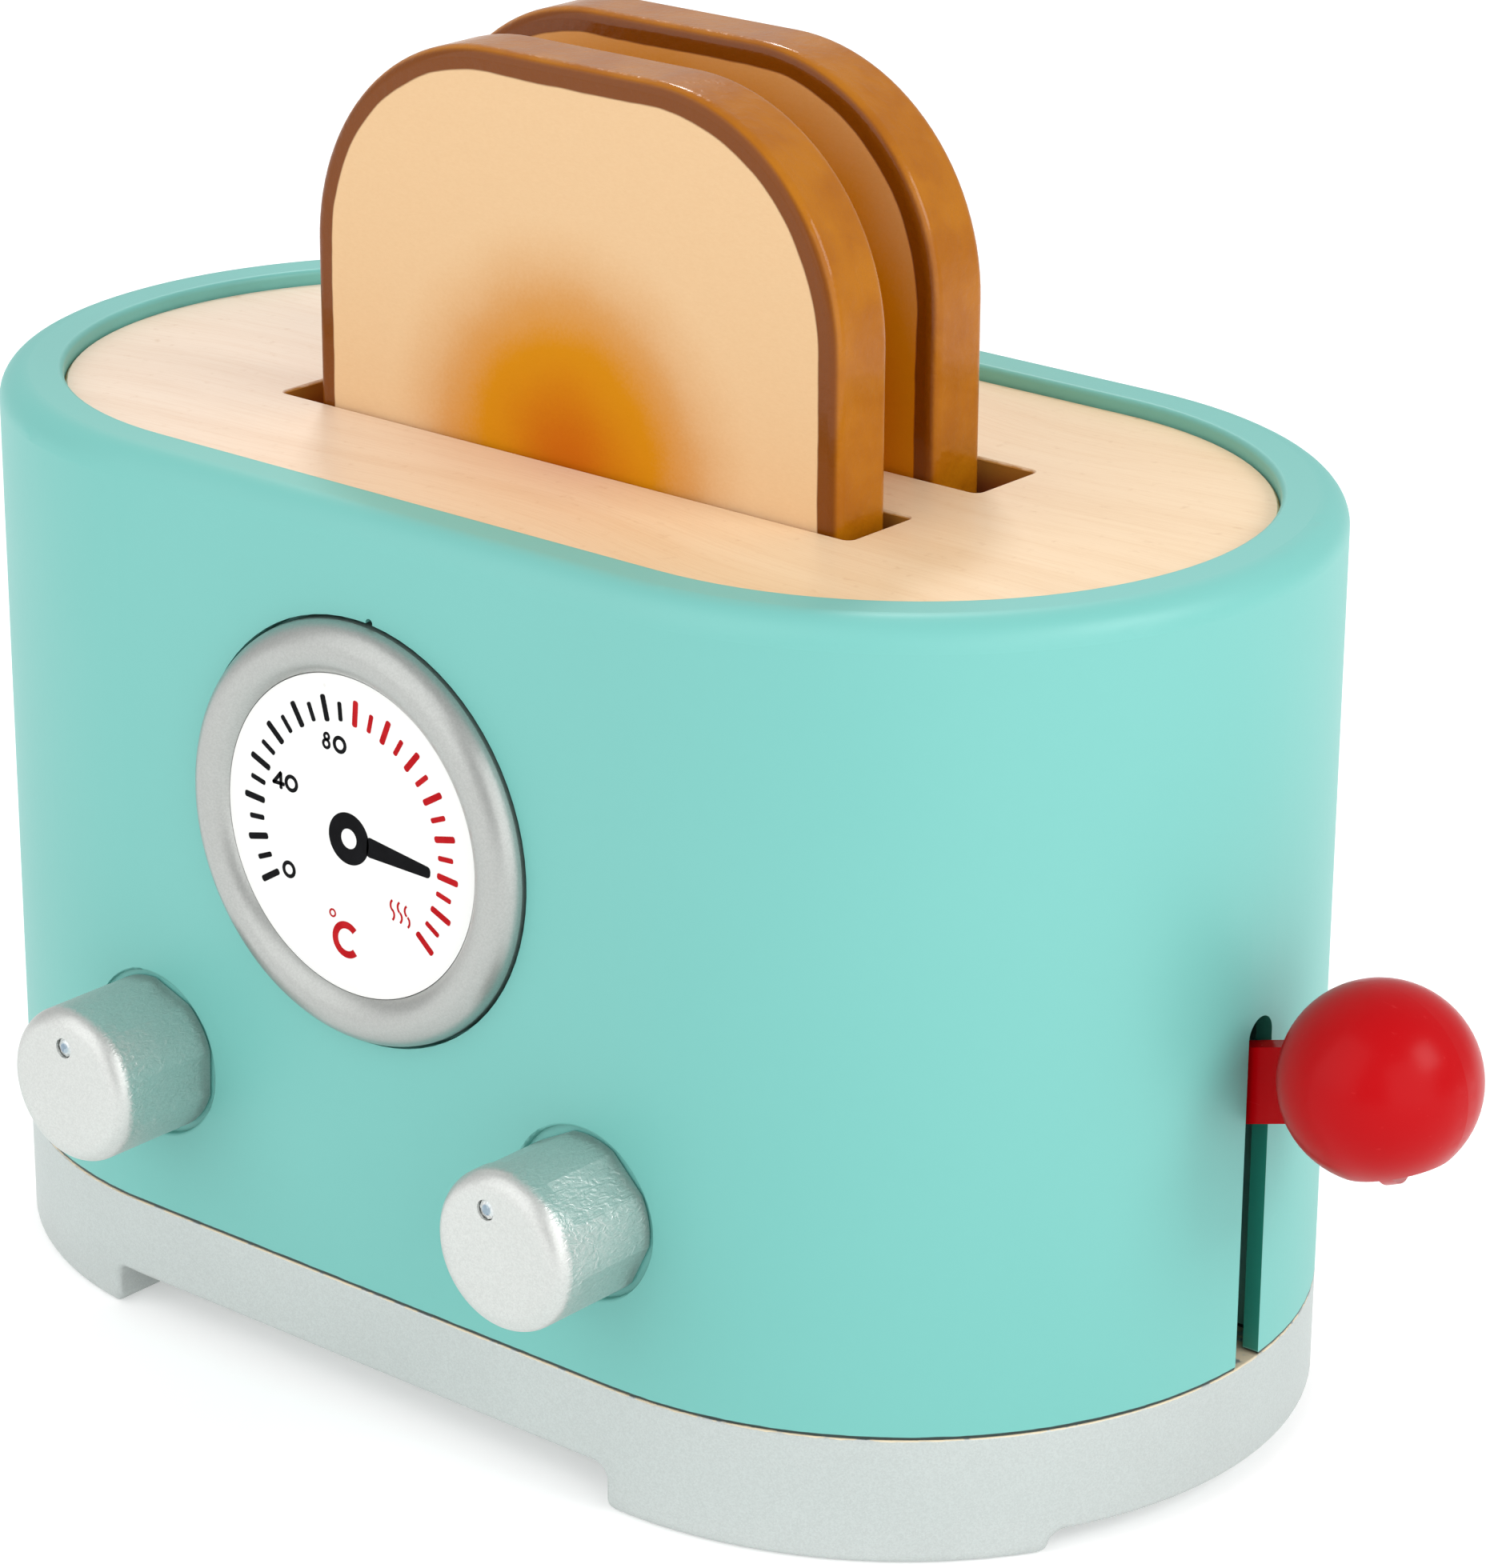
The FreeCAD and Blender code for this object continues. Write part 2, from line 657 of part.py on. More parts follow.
def side_plate(corners, y0, y1):
    """Plate between two planes across Y, from the corners of its side view."""
    points = [V(x, y0, z) for x, z in corners + corners[:1]]
    return Part.Face(Part.makePolygon(points)).extrude(V(0, y1 - y0, 0))


def inner_arm():
    """Inner arm from the hub to the nose: a tapered web with a hollow in each side that leaves flanges."""
    root = hub_radius - arm_root_inset
    tip = arm_tip_height / 2
    half = arm_thickness / 2
    arm = side_plate([(0, -root), (0, root), (-nose_reach, tip), (-nose_reach, -tip)], -half, half)
    near = hub_radius + arm_pocket_margin
    far = nose_reach - nose_radius - arm_pocket_margin
    near_half = root - (root - tip) * near / nose_reach - arm_flange
    far_half = root - (root - tip) * far / nose_reach - arm_flange
    hollow = [(-near, -near_half), (-near, near_half), (-far, far_half), (-far, -far_half)]
    web = half - arm_pocket_depth
    arm = arm.cut(side_plate(hollow, web, half + overrun))
    return arm.cut(side_plate(hollow, -half - overrun, -web))


def lever():
    """One-piece moulded lever: ball, blade through the slot, hub on the pin, ribbed inner arm and nose."""
    half = blade_thickness / 2
    piece = box(0, ball_reach, -half, half, -blade_height / 2, blade_height / 2)
    piece = piece.fuse(inner_arm())
    piece = piece.fuse(rod_y(hub_radius, -hub_width / 2, hub_width / 2, 0, 0))
    piece = piece.fuse(rod_y(nose_radius, -nose_width / 2, nose_width / 2, -nose_reach, 0))
    piece = piece.fuse(lever_ball())
    piece = piece.cut(rod_y(pivot_pin_radius + running_fit, -hub_width, hub_width, 0, 0))
    piece = piece.cut(rod_y(lift_pin_radius + seat_fit, -hub_width, hub_width, -nose_reach, 0))
    return at_rest(piece.removeSplitter())


def lift_pin():
    """Steel cross pin pressed through the lever's nose."""
    half = yoke_outer + lift_pin_overhang
    return at_rest(rod_y(lift_pin_radius, -half, half, -nose_reach, 0))


# ---- pivot ---------------------------------------------------------------------------------------
def pivot_bracket():
    """U-shaped bracket screwed to the base, its two cheeks holding the pin."""
    bracket = rounded_block(bracket_length / 2, bracket_width / 2, base_height, bracket_top, bracket_corner)
    for y0, y1 in ((-cheek_outer, -cheek_inner), (cheek_inner, cheek_outer)):
        bracket = bracket.fuse(box(-cheek_radius, cheek_radius, y0, y1, bracket_top, pivot_z))
        bracket = bracket.fuse(rod_y(cheek_radius, y0, y1, 0, pivot_z))
    bracket = bracket.cut(rod_y(pivot_pin_radius + seat_fit, -bracket_width, bracket_width, 0, pivot_z))
    bracket = moved(bracket, pivot_x, lever_offset, 0)
    for x, y in bracket_screw_places():
        bracket = bracket.cut(small_screw_hole(x, y, base_height, bracket_top, True))
    return bracket.removeSplitter()


def pivot_pin():
    """Steel pin through the bracket and the lever's hub."""
    half = cheek_outer + pivot_pin_overhang
    pin = rod_y(pivot_pin_radius, -half, half, 0, 0)
    rims = [e for e in pin.Edges if e.BoundBox.YLength < hair]
    pin = pin.makeChamfer(pivot_pin_chamfer, rims)
    pin.translate(pivot)
    return pin


def pivot_clips():
    """Push-on clips at both ends of the pin."""
    bore = pivot_pin_radius + seat_fit
    near = cheek_outer
    far = near + clip_thickness
    crown = far + clip_dome
    outline = [
        line(V(bore, near, 0), V(clip_radius, near, 0)),
        line(V(clip_radius, near, 0), V(clip_radius, far, 0)),
        line(V(clip_radius, far, 0), V(bore, crown, 0)),
        line(V(bore, crown, 0), V(bore, near, 0)),
    ]
    clip = turned(outline, 0, 0, 0)
    clips = Part.makeCompound([clip, clip.mirror(ORIGIN, Y_AXIS)])
    clips.translate(pivot)
    return clips


def bracket_screws():
    """Four countersunk screws through the bracket's flange into the base."""
    screws = []
    for x, y in bracket_screw_places():
        screw = small_screw(bracket_flange)
        screw.rotate(ORIGIN, X_AXIS, 180)
        screws.append(moved(screw, x, y, bracket_top))
    return Part.makeCompound(screws)


# ---- carriage ------------------------------------------------------------------------------------
def toast_carriage():
    """Wood carriage with a groove for each slice and an ear for each guide rod."""
    half_length = carriage_length / 2
    half_width = (slot_pitch + slot_width) / 2 + carriage_side_wall
    ear_half = rod_spacing / 2 + ear_reach
    carriage = rounded_block(half_length, half_width, carriage_bottom, carriage_top, carriage_corner)
    ears = rounded_block(ear_width / 2, ear_half, carriage_bottom, carriage_top, carriage_corner)
    carriage = carriage.fuse(ears)
    for y in slot_places:
        y0 = y - slot_width / 2
        y1 = y + slot_width / 2
        carriage = carriage.cut(box(-half_length, half_length, y0, y1, slice_rest_height, carriage_top))
    for y in rod_places:
        carriage = carriage.cut(rod_z(guide_bush_radius + seat_fit, carriage_bottom, carriage_top, 0, y))
    hole_top = carriage_bottom + small_screw_bite
    for x, y in yoke_screw_places():
        carriage = carriage.cut(rod_z(small_screw_radius + seat_fit, carriage_bottom, hole_top, x, y))
    return carriage.removeSplitter()


def lift_yoke():
    """Yoke under the carriage: two cheeks with a level slot for the lever's cross pin."""
    foot = pin_z_rest - yoke_foot
    half_flange = yoke_flange_length / 2
    yoke = rounded_block(half_flange, yoke_outer, yoke_flange_bottom, carriage_bottom, yoke_corner)
    yoke = moved(yoke, yoke_x, 0, 0)
    half = yoke_cheek_length / 2
    for y0, y1 in ((-yoke_outer, -yoke_inner), (yoke_inner, yoke_outer)):
        cheek = box(yoke_x - half, yoke_x + half, y0, y1, foot, yoke_flange_bottom)
        lower = [e for e in edges_at(cheek, foot) if e.BoundBox.XLength < hair]
        yoke = yoke.fuse(cheek.makeFillet(yoke_foot_round, lower))
    slot_half = lift_pin_radius + yoke_slot_gap
    reach = yoke_outer + overrun
    slot = box(pin_x_high, pin_x_low, -reach, reach, pin_z_rest - slot_half, pin_z_rest + slot_half)
    for x in (pin_x_high, pin_x_low):
        slot = slot.fuse(rod_y(slot_half, -reach, reach, x, pin_z_rest))
    yoke = moved(yoke.cut(slot), 0, lever_offset, 0)
    for x, y in yoke_screw_places():
        yoke = yoke.cut(small_screw_hole(x, y, yoke_flange_bottom, carriage_bottom, False))
    return yoke.removeSplitter()


def yoke_screws():
    """Two countersunk screws up through the yoke's flange into the carriage."""
    screws = [moved(small_screw(yoke_flange), x, y, yoke_flange_bottom) for x, y in yoke_screw_places()]
    return Part.makeCompound(screws)


def guide_rods():
    """Two steel rods between blind sockets in the base and the plate."""
    bottom = base_height - rod_socket_depth
    top = plate_bottom + rod_socket_depth
    return Part.makeCompound([rod_z(rod_radius, bottom, top, 0, y) for y in rod_places])


def guide_bushes():
    """Flanged bushes pressed into the carriage's ears."""
    bushes = []
    flange_bottom = carriage_bottom - guide_flange
    for y in rod_places:
        bush = rod_z(guide_bush_radius, carriage_bottom, carriage_top, 0, y)
        bush = bush.fuse(rod_z(guide_flange_radius, flange_bottom, carriage_bottom, 0, y))
        bore = rod_z(rod_radius + running_fit, flange_bottom - overrun, carriage_top + overrun, 0, y)
        bushes.append(bush.cut(bore).removeSplitter())
    return Part.makeCompound(bushes)


def rod_tubes(outer, z0, z1):
    """A tube round each guide rod."""
    tubes = []
    for y in rod_places:
        bore = rod_z(rod_radius + sleeve_bore_gap, z0 - overrun, z1 + overrun, 0, y)
        tubes.append(rod_z(outer, z0, z1, 0, y).cut(bore))
    return Part.makeCompound(tubes)


def felt_washers():
    """Felt washers that the carriage lands on."""
    top = carriage_bottom - guide_flange
    return rod_tubes(guide_flange_radius, top - felt_thickness, top)


def stop_sleeves():
    """Sleeves on the rods that carry the carriage at rest."""
    return rod_tubes(sleeve_radius, base_height, carriage_bottom - guide_flange - felt_thickness)


# ---- bread slices --------------------------------------------------------------------------------
def bread_slice(x, slot_y):
    """Bread slice: straight sides, flat top, large round shoulders, all edges rounded over."""
    half = slice_width / 2
    top = slice_height
    big = slice_shoulder
    small = slice_lower_corner
    big_bend = big * (1 - math.sqrt(0.5))
    small_bend = small * (1 - math.sqrt(0.5))
    outline = [
        line(V(small - half, 0, 0), V(half - small, 0, 0)),
        arc(V(half - small, 0, 0), V(half - small_bend, 0, small_bend), V(half, 0, small)),
        line(V(half, 0, small), V(half, 0, top - big)),
        arc(V(half, 0, top - big), V(half - big_bend, 0, top - big_bend), V(half - big, 0, top)),
        line(V(half - big, 0, top), V(big - half, 0, top)),
        arc(V(big - half, 0, top), V(big_bend - half, 0, top - big_bend), V(-half, 0, top - big)),
        line(V(-half, 0, top - big), V(-half, 0, small)),
        arc(V(-half, 0, small), V(small_bend - half, 0, small_bend), V(small - half, 0, 0)),
    ]
    piece = Part.Face(Part.Wire(outline)).extrude(V(0, slice_thickness, 0))
    rims = [e for e in piece.Edges if e.BoundBox.YLength < hair]
    piece = piece.makeFillet(slice_edge_round, rims)
    return moved(piece, x, slot_y - slice_lean - slice_thickness / 2, slice_rest_height)


pieces = {
    "body_shell": body_shell(),
    "top_plate": top_plate(),
    "base_plate": base_plate(),
    "base_screws": base_screws(),
    "gauge_bezel": gauge_bezel(),
    "gauge_dial": gauge_dial(),
    "knob_left": knob(knob_places["left"], left_flat_angle, left_jewel_angle),
    "knob_right": knob(knob_places["right"], right_flat_angle, right_jewel_angle),
    "knob_left_jewel": jewel(knob_places["left"], left_jewel_angle),
    "knob_right_jewel": jewel(knob_places["right"], right_jewel_angle),
    "knob_left_screw": knob_screw(knob_places["left"]),
    "knob_right_screw": knob_screw(knob_places["right"]),
    "knob_bushes": knob_bushes(),
    "lever": lever(),
    "lift_pin": lift_pin(),
    "pivot_bracket": pivot_bracket(),
    "pivot_pin": pivot_pin(),
    "pivot_clips": pivot_clips(),
    "bracket_screws": bracket_screws(),
    "toast_carriage": toast_carriage(),
    "lift_yoke": lift_yoke(),
    "yoke_screws": yoke_screws(),
    "guide_rods": guide_rods(),
    "guide_bushes": guide_bushes(),
    "felt_washers": felt_washers(),
    "stop_sleeves": stop_sleeves(),
    "toast_front": bread_slice(front_slice_x, slot_places[0]),
    "toast_back": bread_slice(rear_slice_x, slot_places[1]),
}

os.makedirs("parts", exist_ok=True)
for name, shape in pieces.items():
    shape.exportStep("parts/" + name + ".step")
    sound = all(solid.isValid() and solid.isClosed() for solid in shape.Solids)
    print(name, len(shape.Solids), "valid" if sound else "NOT VALID", round(shape.Volume, 1))
print("lift travel", round(lift_travel, 3), "per radian", round(lift_travel / math.radians(lever_swing), 4))
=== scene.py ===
import bpy
import math
from mathutils import Matrix, Vector


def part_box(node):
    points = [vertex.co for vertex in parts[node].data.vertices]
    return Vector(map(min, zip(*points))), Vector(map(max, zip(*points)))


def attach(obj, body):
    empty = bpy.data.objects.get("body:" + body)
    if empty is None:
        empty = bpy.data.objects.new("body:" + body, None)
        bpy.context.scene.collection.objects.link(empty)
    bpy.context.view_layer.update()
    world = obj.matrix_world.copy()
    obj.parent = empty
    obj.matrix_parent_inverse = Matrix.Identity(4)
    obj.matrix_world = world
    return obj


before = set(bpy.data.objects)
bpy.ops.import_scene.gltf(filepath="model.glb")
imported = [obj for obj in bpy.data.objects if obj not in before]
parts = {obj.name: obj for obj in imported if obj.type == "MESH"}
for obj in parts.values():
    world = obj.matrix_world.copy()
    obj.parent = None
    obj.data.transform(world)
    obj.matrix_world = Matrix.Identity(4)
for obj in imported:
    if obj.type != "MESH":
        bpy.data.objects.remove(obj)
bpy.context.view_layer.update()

# ---- base board ----------------------------------------------------------------------------------
# The board that the toaster stands on is sprayed with silver paint, feet and arches included.
# Its upper edge was masked, so a thin ragged line of bare wood shows at the seam.

def feed(tree, value, socket):
    """Joins another node's output to an input, or sets the input to a plain value."""
    if isinstance(value, bpy.types.NodeSocket):
        tree.links.new(value, socket)
    else:
        socket.default_value = value


def lay(tree, node, **values):
    """Feeds a node's inputs by name, with an underscore for each space."""
    for name, value in values.items():
        feed(tree, value, node.inputs[name.replace("_", " ")])


def put(tree, kind, **values):
    """Adds one shader node and feeds its inputs."""
    node = tree.nodes.new("ShaderNode" + kind)
    lay(tree, node, **values)
    return node


def reckon(tree, operation, *terms):
    """One Math node; a term is a number or another node's output."""
    node = put(tree, "Math")
    node.operation = operation
    for socket, term in zip(node.inputs, terms):
        feed(tree, term, socket)
    return node.outputs[0]


def plus(tree, first, second):
    """The sum of two values."""
    return reckon(tree, "ADD", first, second)


def minus(tree, first, second):
    """The first value less the second."""
    return reckon(tree, "SUBTRACT", first, second)


def times(tree, first, second):
    """The product of two values."""
    return reckon(tree, "MULTIPLY", first, second)


def size_of(tree, value):
    """A value without its sign."""
    return reckon(tree, "ABSOLUTE", value)


def span(tree, across, up):
    """The straight distance over two steps at right angles."""
    squares = [reckon(tree, "POWER", step, 2.0) for step in (across, up)]
    return reckon(tree, "SQRT", plus(tree, *squares))


def eased(tree, value, start, end):
    """0 before start, 1 after end, smooth between; start may be the larger. A pair of values named an
    edge is such a start and end."""
    falls = start > end
    node = put(tree, "MapRange", Value=value, From_Min=min(start, end), From_Max=max(start, end))
    lay(tree, node, To_Min=1.0 if falls else 0.0, To_Max=0.0 if falls else 1.0)
    node.interpolation_type = "SMOOTHSTEP"
    return node.outputs[0]


def spread(tree, value, low, high):
    """A value from 0 to 1 spread between two numbers."""
    return put(tree, "MapRange", Value=value, To_Min=low, To_Max=high).outputs[0]


def blended(tree, share, first, second):
    """The colour between two colours, by a share from 0 to 1."""
    node = put(tree, "Mix")
    node.data_type = "RGBA"
    # A Mix node's colours go in at 6 and 7 and come out at 2.
    for index, value in ((0, share), (6, first), (7, second)):
        feed(tree, value, node.inputs[index])
    return node.outputs[2]


def between(tree, share, first, second):
    """The value between two values, by a share from 0 to 1."""
    return put(tree, "Mix", Factor=share, A=first, B=second).outputs[0]


def axes(tree, place):
    """The X, Y and Z of a place."""
    return put(tree, "SeparateXYZ", Vector=place).outputs


def facing(tree):
    """Which way the surface looks, as X, Y and Z."""
    return axes(tree, put(tree, "NewGeometry").outputs["Normal"])


def mottle(tree, place, per_metre, detail, warp=0.0):
    """Soft random values from 0 to 1, with so many to the metre, all round or along X, Y and Z."""
    if isinstance(per_metre, tuple):
        stretch = put(tree, "VectorMath")
        stretch.operation = "MULTIPLY"
        feed(tree, place, stretch.inputs[0])
        feed(tree, per_metre, stretch.inputs[1])
        place = stretch.outputs[0]
        per_metre = 1.0
    return put(tree, "TexNoise", Vector=place, Scale=per_metre, Detail=detail, Distortion=warp).outputs[0]


def raised(tree, height, strength, distance):
    """The normal of a surface raised by a height map."""
    return put(tree, "Bump", Height=height, Strength=strength, Distance=distance).outputs[0]


def srgb(red, green, blue):
    """A colour from the values on a paint card, 0 to 255."""
    card = [c / 255 for c in (red, green, blue)]
    return [c / 12.92 if c <= 0.04045 else ((c + 0.055) / 1.055) ** 2.4 for c in card] + [1.0]


def shade(colour, factor):
    """A colour made darker or lighter."""
    return [min(c * factor, 1.0) for c in colour[:3]] + [1.0]


def finish_of(name):
    """A new material with its shader joined up, and the place on the piece to lay patterns by."""
    material = bpy.data.materials.new(name)
    material.use_nodes = True
    tree = material.node_tree
    tree.nodes.clear()
    shader = put(tree, "BsdfPrincipled")
    put(tree, "OutputMaterial", Surface=shader.outputs["BSDF"])
    place = put(tree, "TexCoord").outputs["Object"]
    return material, tree, shader, place


def new_group(name, takes, gives):
    """An effect with named inputs and outputs that several finishes use."""
    tree = bpy.data.node_groups.new(name, "ShaderNodeTree")
    for label, kind, value in takes:
        socket = tree.interface.new_socket(label, in_out="INPUT", socket_type="NodeSocket" + kind)
        if value is not None:
            socket.default_value = value
    for label, kind in gives:
        tree.interface.new_socket(label, in_out="OUTPUT", socket_type="NodeSocket" + kind)
    return tree, tree.nodes.new("NodeGroupInput").outputs, tree.nodes.new("NodeGroupOutput")


def use_group(tree, group, **values):
    """Places an effect in a material with its own values, and gives what it puts out."""
    node = put(tree, "Group")
    node.node_tree = group
    lay(tree, node, **values)
    return node.outputs


def dress(material, *names):
    """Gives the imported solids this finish."""
    for name in names:
        mesh = parts[name].data
        mesh.materials.clear()
        mesh.materials.append(material)


# Sprayed paint: a faint orange peel, clouds from one spray pass to the next, and settled dust nibs.
nibs_per_metre = 210.0
nib_edge = (0.085, 0.03)
nib_patches_per_metre = 95.0
nib_patch_edge = (0.62, 0.66)
paint_film, film_takes, film_gives = new_group(
    "paint film",
    [("Place", "Vector", None), ("Peel per Metre", "Float", 900.0), ("Clouds per Metre", "Float", 22.0)],
    [("Clouds", "Float"), ("Peel", "Float"), ("Nibs", "Float")],
)
film_place = film_takes["Place"]
dots = put(paint_film, "TexVoronoi", Vector=film_place, Scale=nibs_per_metre).outputs["Distance"]
patches = mottle(paint_film, film_place, nib_patches_per_metre, detail=1.0)
nibs = times(paint_film, eased(paint_film, dots, *nib_edge), eased(paint_film, patches, *nib_patch_edge))
clouds = mottle(paint_film, film_place, film_takes["Clouds per Metre"], detail=3.0)
peel = mottle(paint_film, film_place, film_takes["Peel per Metre"], detail=2.0)
lay(paint_film, film_gives, Clouds=clouds, Peel=peel, Nibs=nibs)

# Metal flakes in silver paint: tiny cells, each a little lighter or darker and tilted its own way.
grit_per_metre = 2600.0
silver_flakes, flake_takes, flake_gives = new_group(
    "silver flakes",
    [("Place", "Vector", None), ("Flakes per Metre", "Float", 5200.0)],
    [("Sparkle", "Float"), ("Tilt", "Float")],
)
flake_place = flake_takes["Place"]
cells = put(silver_flakes, "TexVoronoi", Vector=flake_place, Scale=flake_takes["Flakes per Metre"])
cell_shades = put(silver_flakes, "SeparateColor", Color=cells.outputs["Color"]).outputs
grit = mottle(silver_flakes, flake_place, grit_per_metre, detail=2.0)
lay(silver_flakes, flake_gives, Sparkle=cell_shades[0], Tilt=plus(silver_flakes, cell_shades[1], grit))

flake_dark = 0.94
flake_light = 1.07
flake_relief = 0.10
thin_tone = 0.74
thin_share = 0.35
gloss_drift = (-0.04, 0.06)
silver_metal = 0.85
crease_side_edge = (0.45, 0.20)
creases_per_metre = (1300, 520, 1300)
crease_warp = 1.2
crease_edge = (0.35, 0.65)
bare_wood = srgb(236, 222, 192)
bare_metal = 0.7


def silver_finish(name, tone, roughness, peel_height, side_creases=0.0, bare_part=None):
    """Silver paint on turned or routed wood. Sprayed thick, its sides dry creased; bare_part works out
    where wood shows."""
    material, tree, shader, place = finish_of(name)
    film = use_group(tree, paint_film, Place=place, Peel_per_Metre=1300.0, Clouds_per_Metre=30.0)
    flakes = use_group(tree, silver_flakes, Place=place)
    colour = blended(tree, flakes["Sparkle"], shade(tone, flake_dark), shade(tone, flake_light))
    colour = blended(tree, spread(tree, film["Clouds"], 0.0, thin_share), colour, shade(tone, thin_tone))
    height = plus(tree, film["Peel"], times(tree, flakes["Tilt"], flake_relief))
    height = plus(tree, height, film["Nibs"])
    if side_creases:
        on_side = eased(tree, size_of(tree, facing(tree)["Y"]), *crease_side_edge)
        creases = mottle(tree, place, creases_per_metre, detail=3.0, warp=crease_warp)
        creases = eased(tree, creases, *crease_edge)
        height = plus(tree, height, times(tree, times(tree, creases, on_side), side_creases))
    metal = silver_metal
    if bare_part:
        bare = bare_part(tree, place)
        colour = blended(tree, bare, colour, bare_wood)
        metal = times(tree, minus(tree, 1.0, bare), bare_metal)
    lay(tree, shader, Base_Color=colour, Metallic=metal)
    lay(tree, shader, Roughness=plus(tree, spread(tree, film["Clouds"], *gloss_drift), roughness))
    lay(tree, shader, Normal=raised(tree, height, strength=0.5, distance=peel_height))
    return material


seam_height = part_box("base_plate")[1].z
seam_bare_edge = (seam_height - 0.00022, seam_height - 0.00014)
rags_per_metre = (420, 420, 420)
rag_height = 0.00016
rag_gap_edge = (0.36, 0.46)


def bare_at_seam(tree, place):
    """The ragged line under the seam, broken here and there, that the mask kept bare."""
    rags = mottle(tree, place, rags_per_metre, detail=4.0)
    height = plus(tree, axes(tree, place)["Z"], spread(tree, rags, -rag_height, rag_height))
    return times(tree, eased(tree, height, *seam_bare_edge), eased(tree, rags, *rag_gap_edge))


base_finish = silver_finish(
    "silver base", srgb(201, 207, 205), roughness=0.48, peel_height=0.000012, bare_part=bare_at_seam
)
dress(base_finish, "base_plate")

# ---- painted shell -------------------------------------------------------------------------------
# The hollow oval wall is glued up from pale wood, routed, sanded and sprayed with satin mint paint.
# Inside, below the plate's ledge, the wood was masked and stays bare. Along the seam the paint is
# darkened nearly to black as painted shade, and in the lever's slot it is deeper as painted shade.

# Straight-grained pale wood: broad soft bands, fine fibres and short dark pores, all along X.
sways_per_metre = (9, 9, 9)
sway_width = 0.035
bands_per_metre = (6, 170, 110)
band_edge = (0.35, 0.70)
fibres_per_metre = (95, 2300, 2300)
fibre_edge = (0.40, 0.75)
fibre_depth = 0.35
pores_per_metre = (420, 5200, 5200)
pore_edge = (0.66, 0.72)
pore_depth = 0.30
wood_grain, grain_takes, grain_gives = new_group(
    "wood grain",
    [("Place", "Vector", None), ("Pale", "Color", None), ("Dark", "Color", None), ("Banding", "Float", 0.5)],
    [("Colour", "Color"), ("Fibre", "Float"), ("Pores", "Float")],
)
grain_axes = axes(wood_grain, grain_takes["Place"])
sway = times(wood_grain, mottle(wood_grain, grain_takes["Place"], sways_per_metre, detail=1.0), sway_width)
swayed_y = plus(wood_grain, grain_axes["Y"], sway)
swayed = put(wood_grain, "CombineXYZ", X=grain_axes["X"], Y=swayed_y, Z=grain_axes["Z"]).outputs[0]
bands = eased(wood_grain, mottle(wood_grain, swayed, bands_per_metre, detail=2.0), *band_edge)
fibres = mottle(wood_grain, swayed, fibres_per_metre, detail=4.0)
pores = eased(wood_grain, mottle(wood_grain, swayed, pores_per_metre, detail=1.0), *pore_edge)
band_share = times(wood_grain, bands, grain_takes["Banding"])
fibre_share = times(wood_grain, eased(wood_grain, fibres, *fibre_edge), fibre_depth)
grain_share = plus(wood_grain, band_share, fibre_share)
grain_share = plus(wood_grain, grain_share, times(wood_grain, pores, pore_depth))
grain_colour = blended(wood_grain, grain_share, grain_takes["Pale"], grain_takes["Dark"])
lay(wood_grain, grain_gives, Colour=grain_colour, Fibre=fibres, Pores=pores)

shell_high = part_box("body_shell")[1]
end_radius = shell_high.y
end_centre = shell_high.x - end_radius
paint_reaches_in = 0.0106
bare_radius = end_radius - paint_reaches_in
inner_edge = (bare_radius + 0.0004, bare_radius)
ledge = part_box("top_plate")[0].z
ledge_edge = (ledge + 0.0006, ledge + 0.0002)
# A thin band at the foot of the wall, by the seam, is painted nearly black as painted shade.
seam_shade_edge = (seam_height + 0.00056, seam_height + 0.00042)
seam_shade_waves_per_metre = (300, 300, 300)
seam_shade_wave = 0.00010
mint = srgb(120, 196, 188)
mint_deep = srgb(106, 188, 179)
mint_seam_shade = srgb(4, 38, 34)
# A deeper mint for the walls inside the lever's slot, as painted shade.
mint_slot_shade = srgb(36, 138, 120)
deep_share = 0.6
shell_rough = (0.40, 0.50)
bare_roughness = 0.3
shell_nibs = 0.8
shell_wood = {"Pale": srgb(228, 200, 158), "Dark": srgb(198, 160, 112), "Banding": 0.5}

# The lever's slot is cut through the right end and rounded at its top.
lever_low, lever_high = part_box("lever")
lever_plane = (lever_low.y + lever_high.y) / 2
slot_half = 0.00265
slot_top = 0.0663
slot_edge = (slot_half + 0.00005, slot_half + 0.00001)
slot_wall_edge = (0.0870, 0.0876)

shell_finish, tree, shader, place = finish_of("mint paint")
film = use_group(tree, paint_film, Place=place, Peel_per_Metre=700.0, Clouds_per_Metre=14.0)
where = axes(tree, place)
along = reckon(tree, "MAXIMUM", minus(tree, size_of(tree, where["X"]), end_centre), 0.0)
inner_face = eased(tree, span(tree, along, where["Y"]), *inner_edge)
bare = times(tree, inner_face, eased(tree, where["Z"], *ledge_edge))
bare_grain = use_group(tree, wood_grain, Place=place, **shell_wood)

paint = blended(tree, spread(tree, film["Clouds"], 0.0, deep_share), mint, mint_deep)
# Darkens the foot of the wall by the seam as painted shade.
seam_shade_waves = mottle(tree, place, seam_shade_waves_per_metre, detail=2.0)
seam_shade_height = plus(tree, where["Z"], spread(tree, seam_shade_waves, -seam_shade_wave, seam_shade_wave))
paint = blended(tree, eased(tree, seam_shade_height, *seam_shade_edge), paint, mint_seam_shade)
# The walls inside the lever's slot are painted a deeper mint as painted shade.
over_slot = reckon(tree, "MAXIMUM", minus(tree, where["Z"], slot_top - slot_half), 0.0)
from_slot = span(tree, minus(tree, where["Y"], lever_plane), over_slot)
slot_wall_shade = times(tree, eased(tree, from_slot, *slot_edge), eased(tree, where["X"], *slot_wall_edge))
paint = blended(tree, slot_wall_shade, paint, mint_slot_shade)

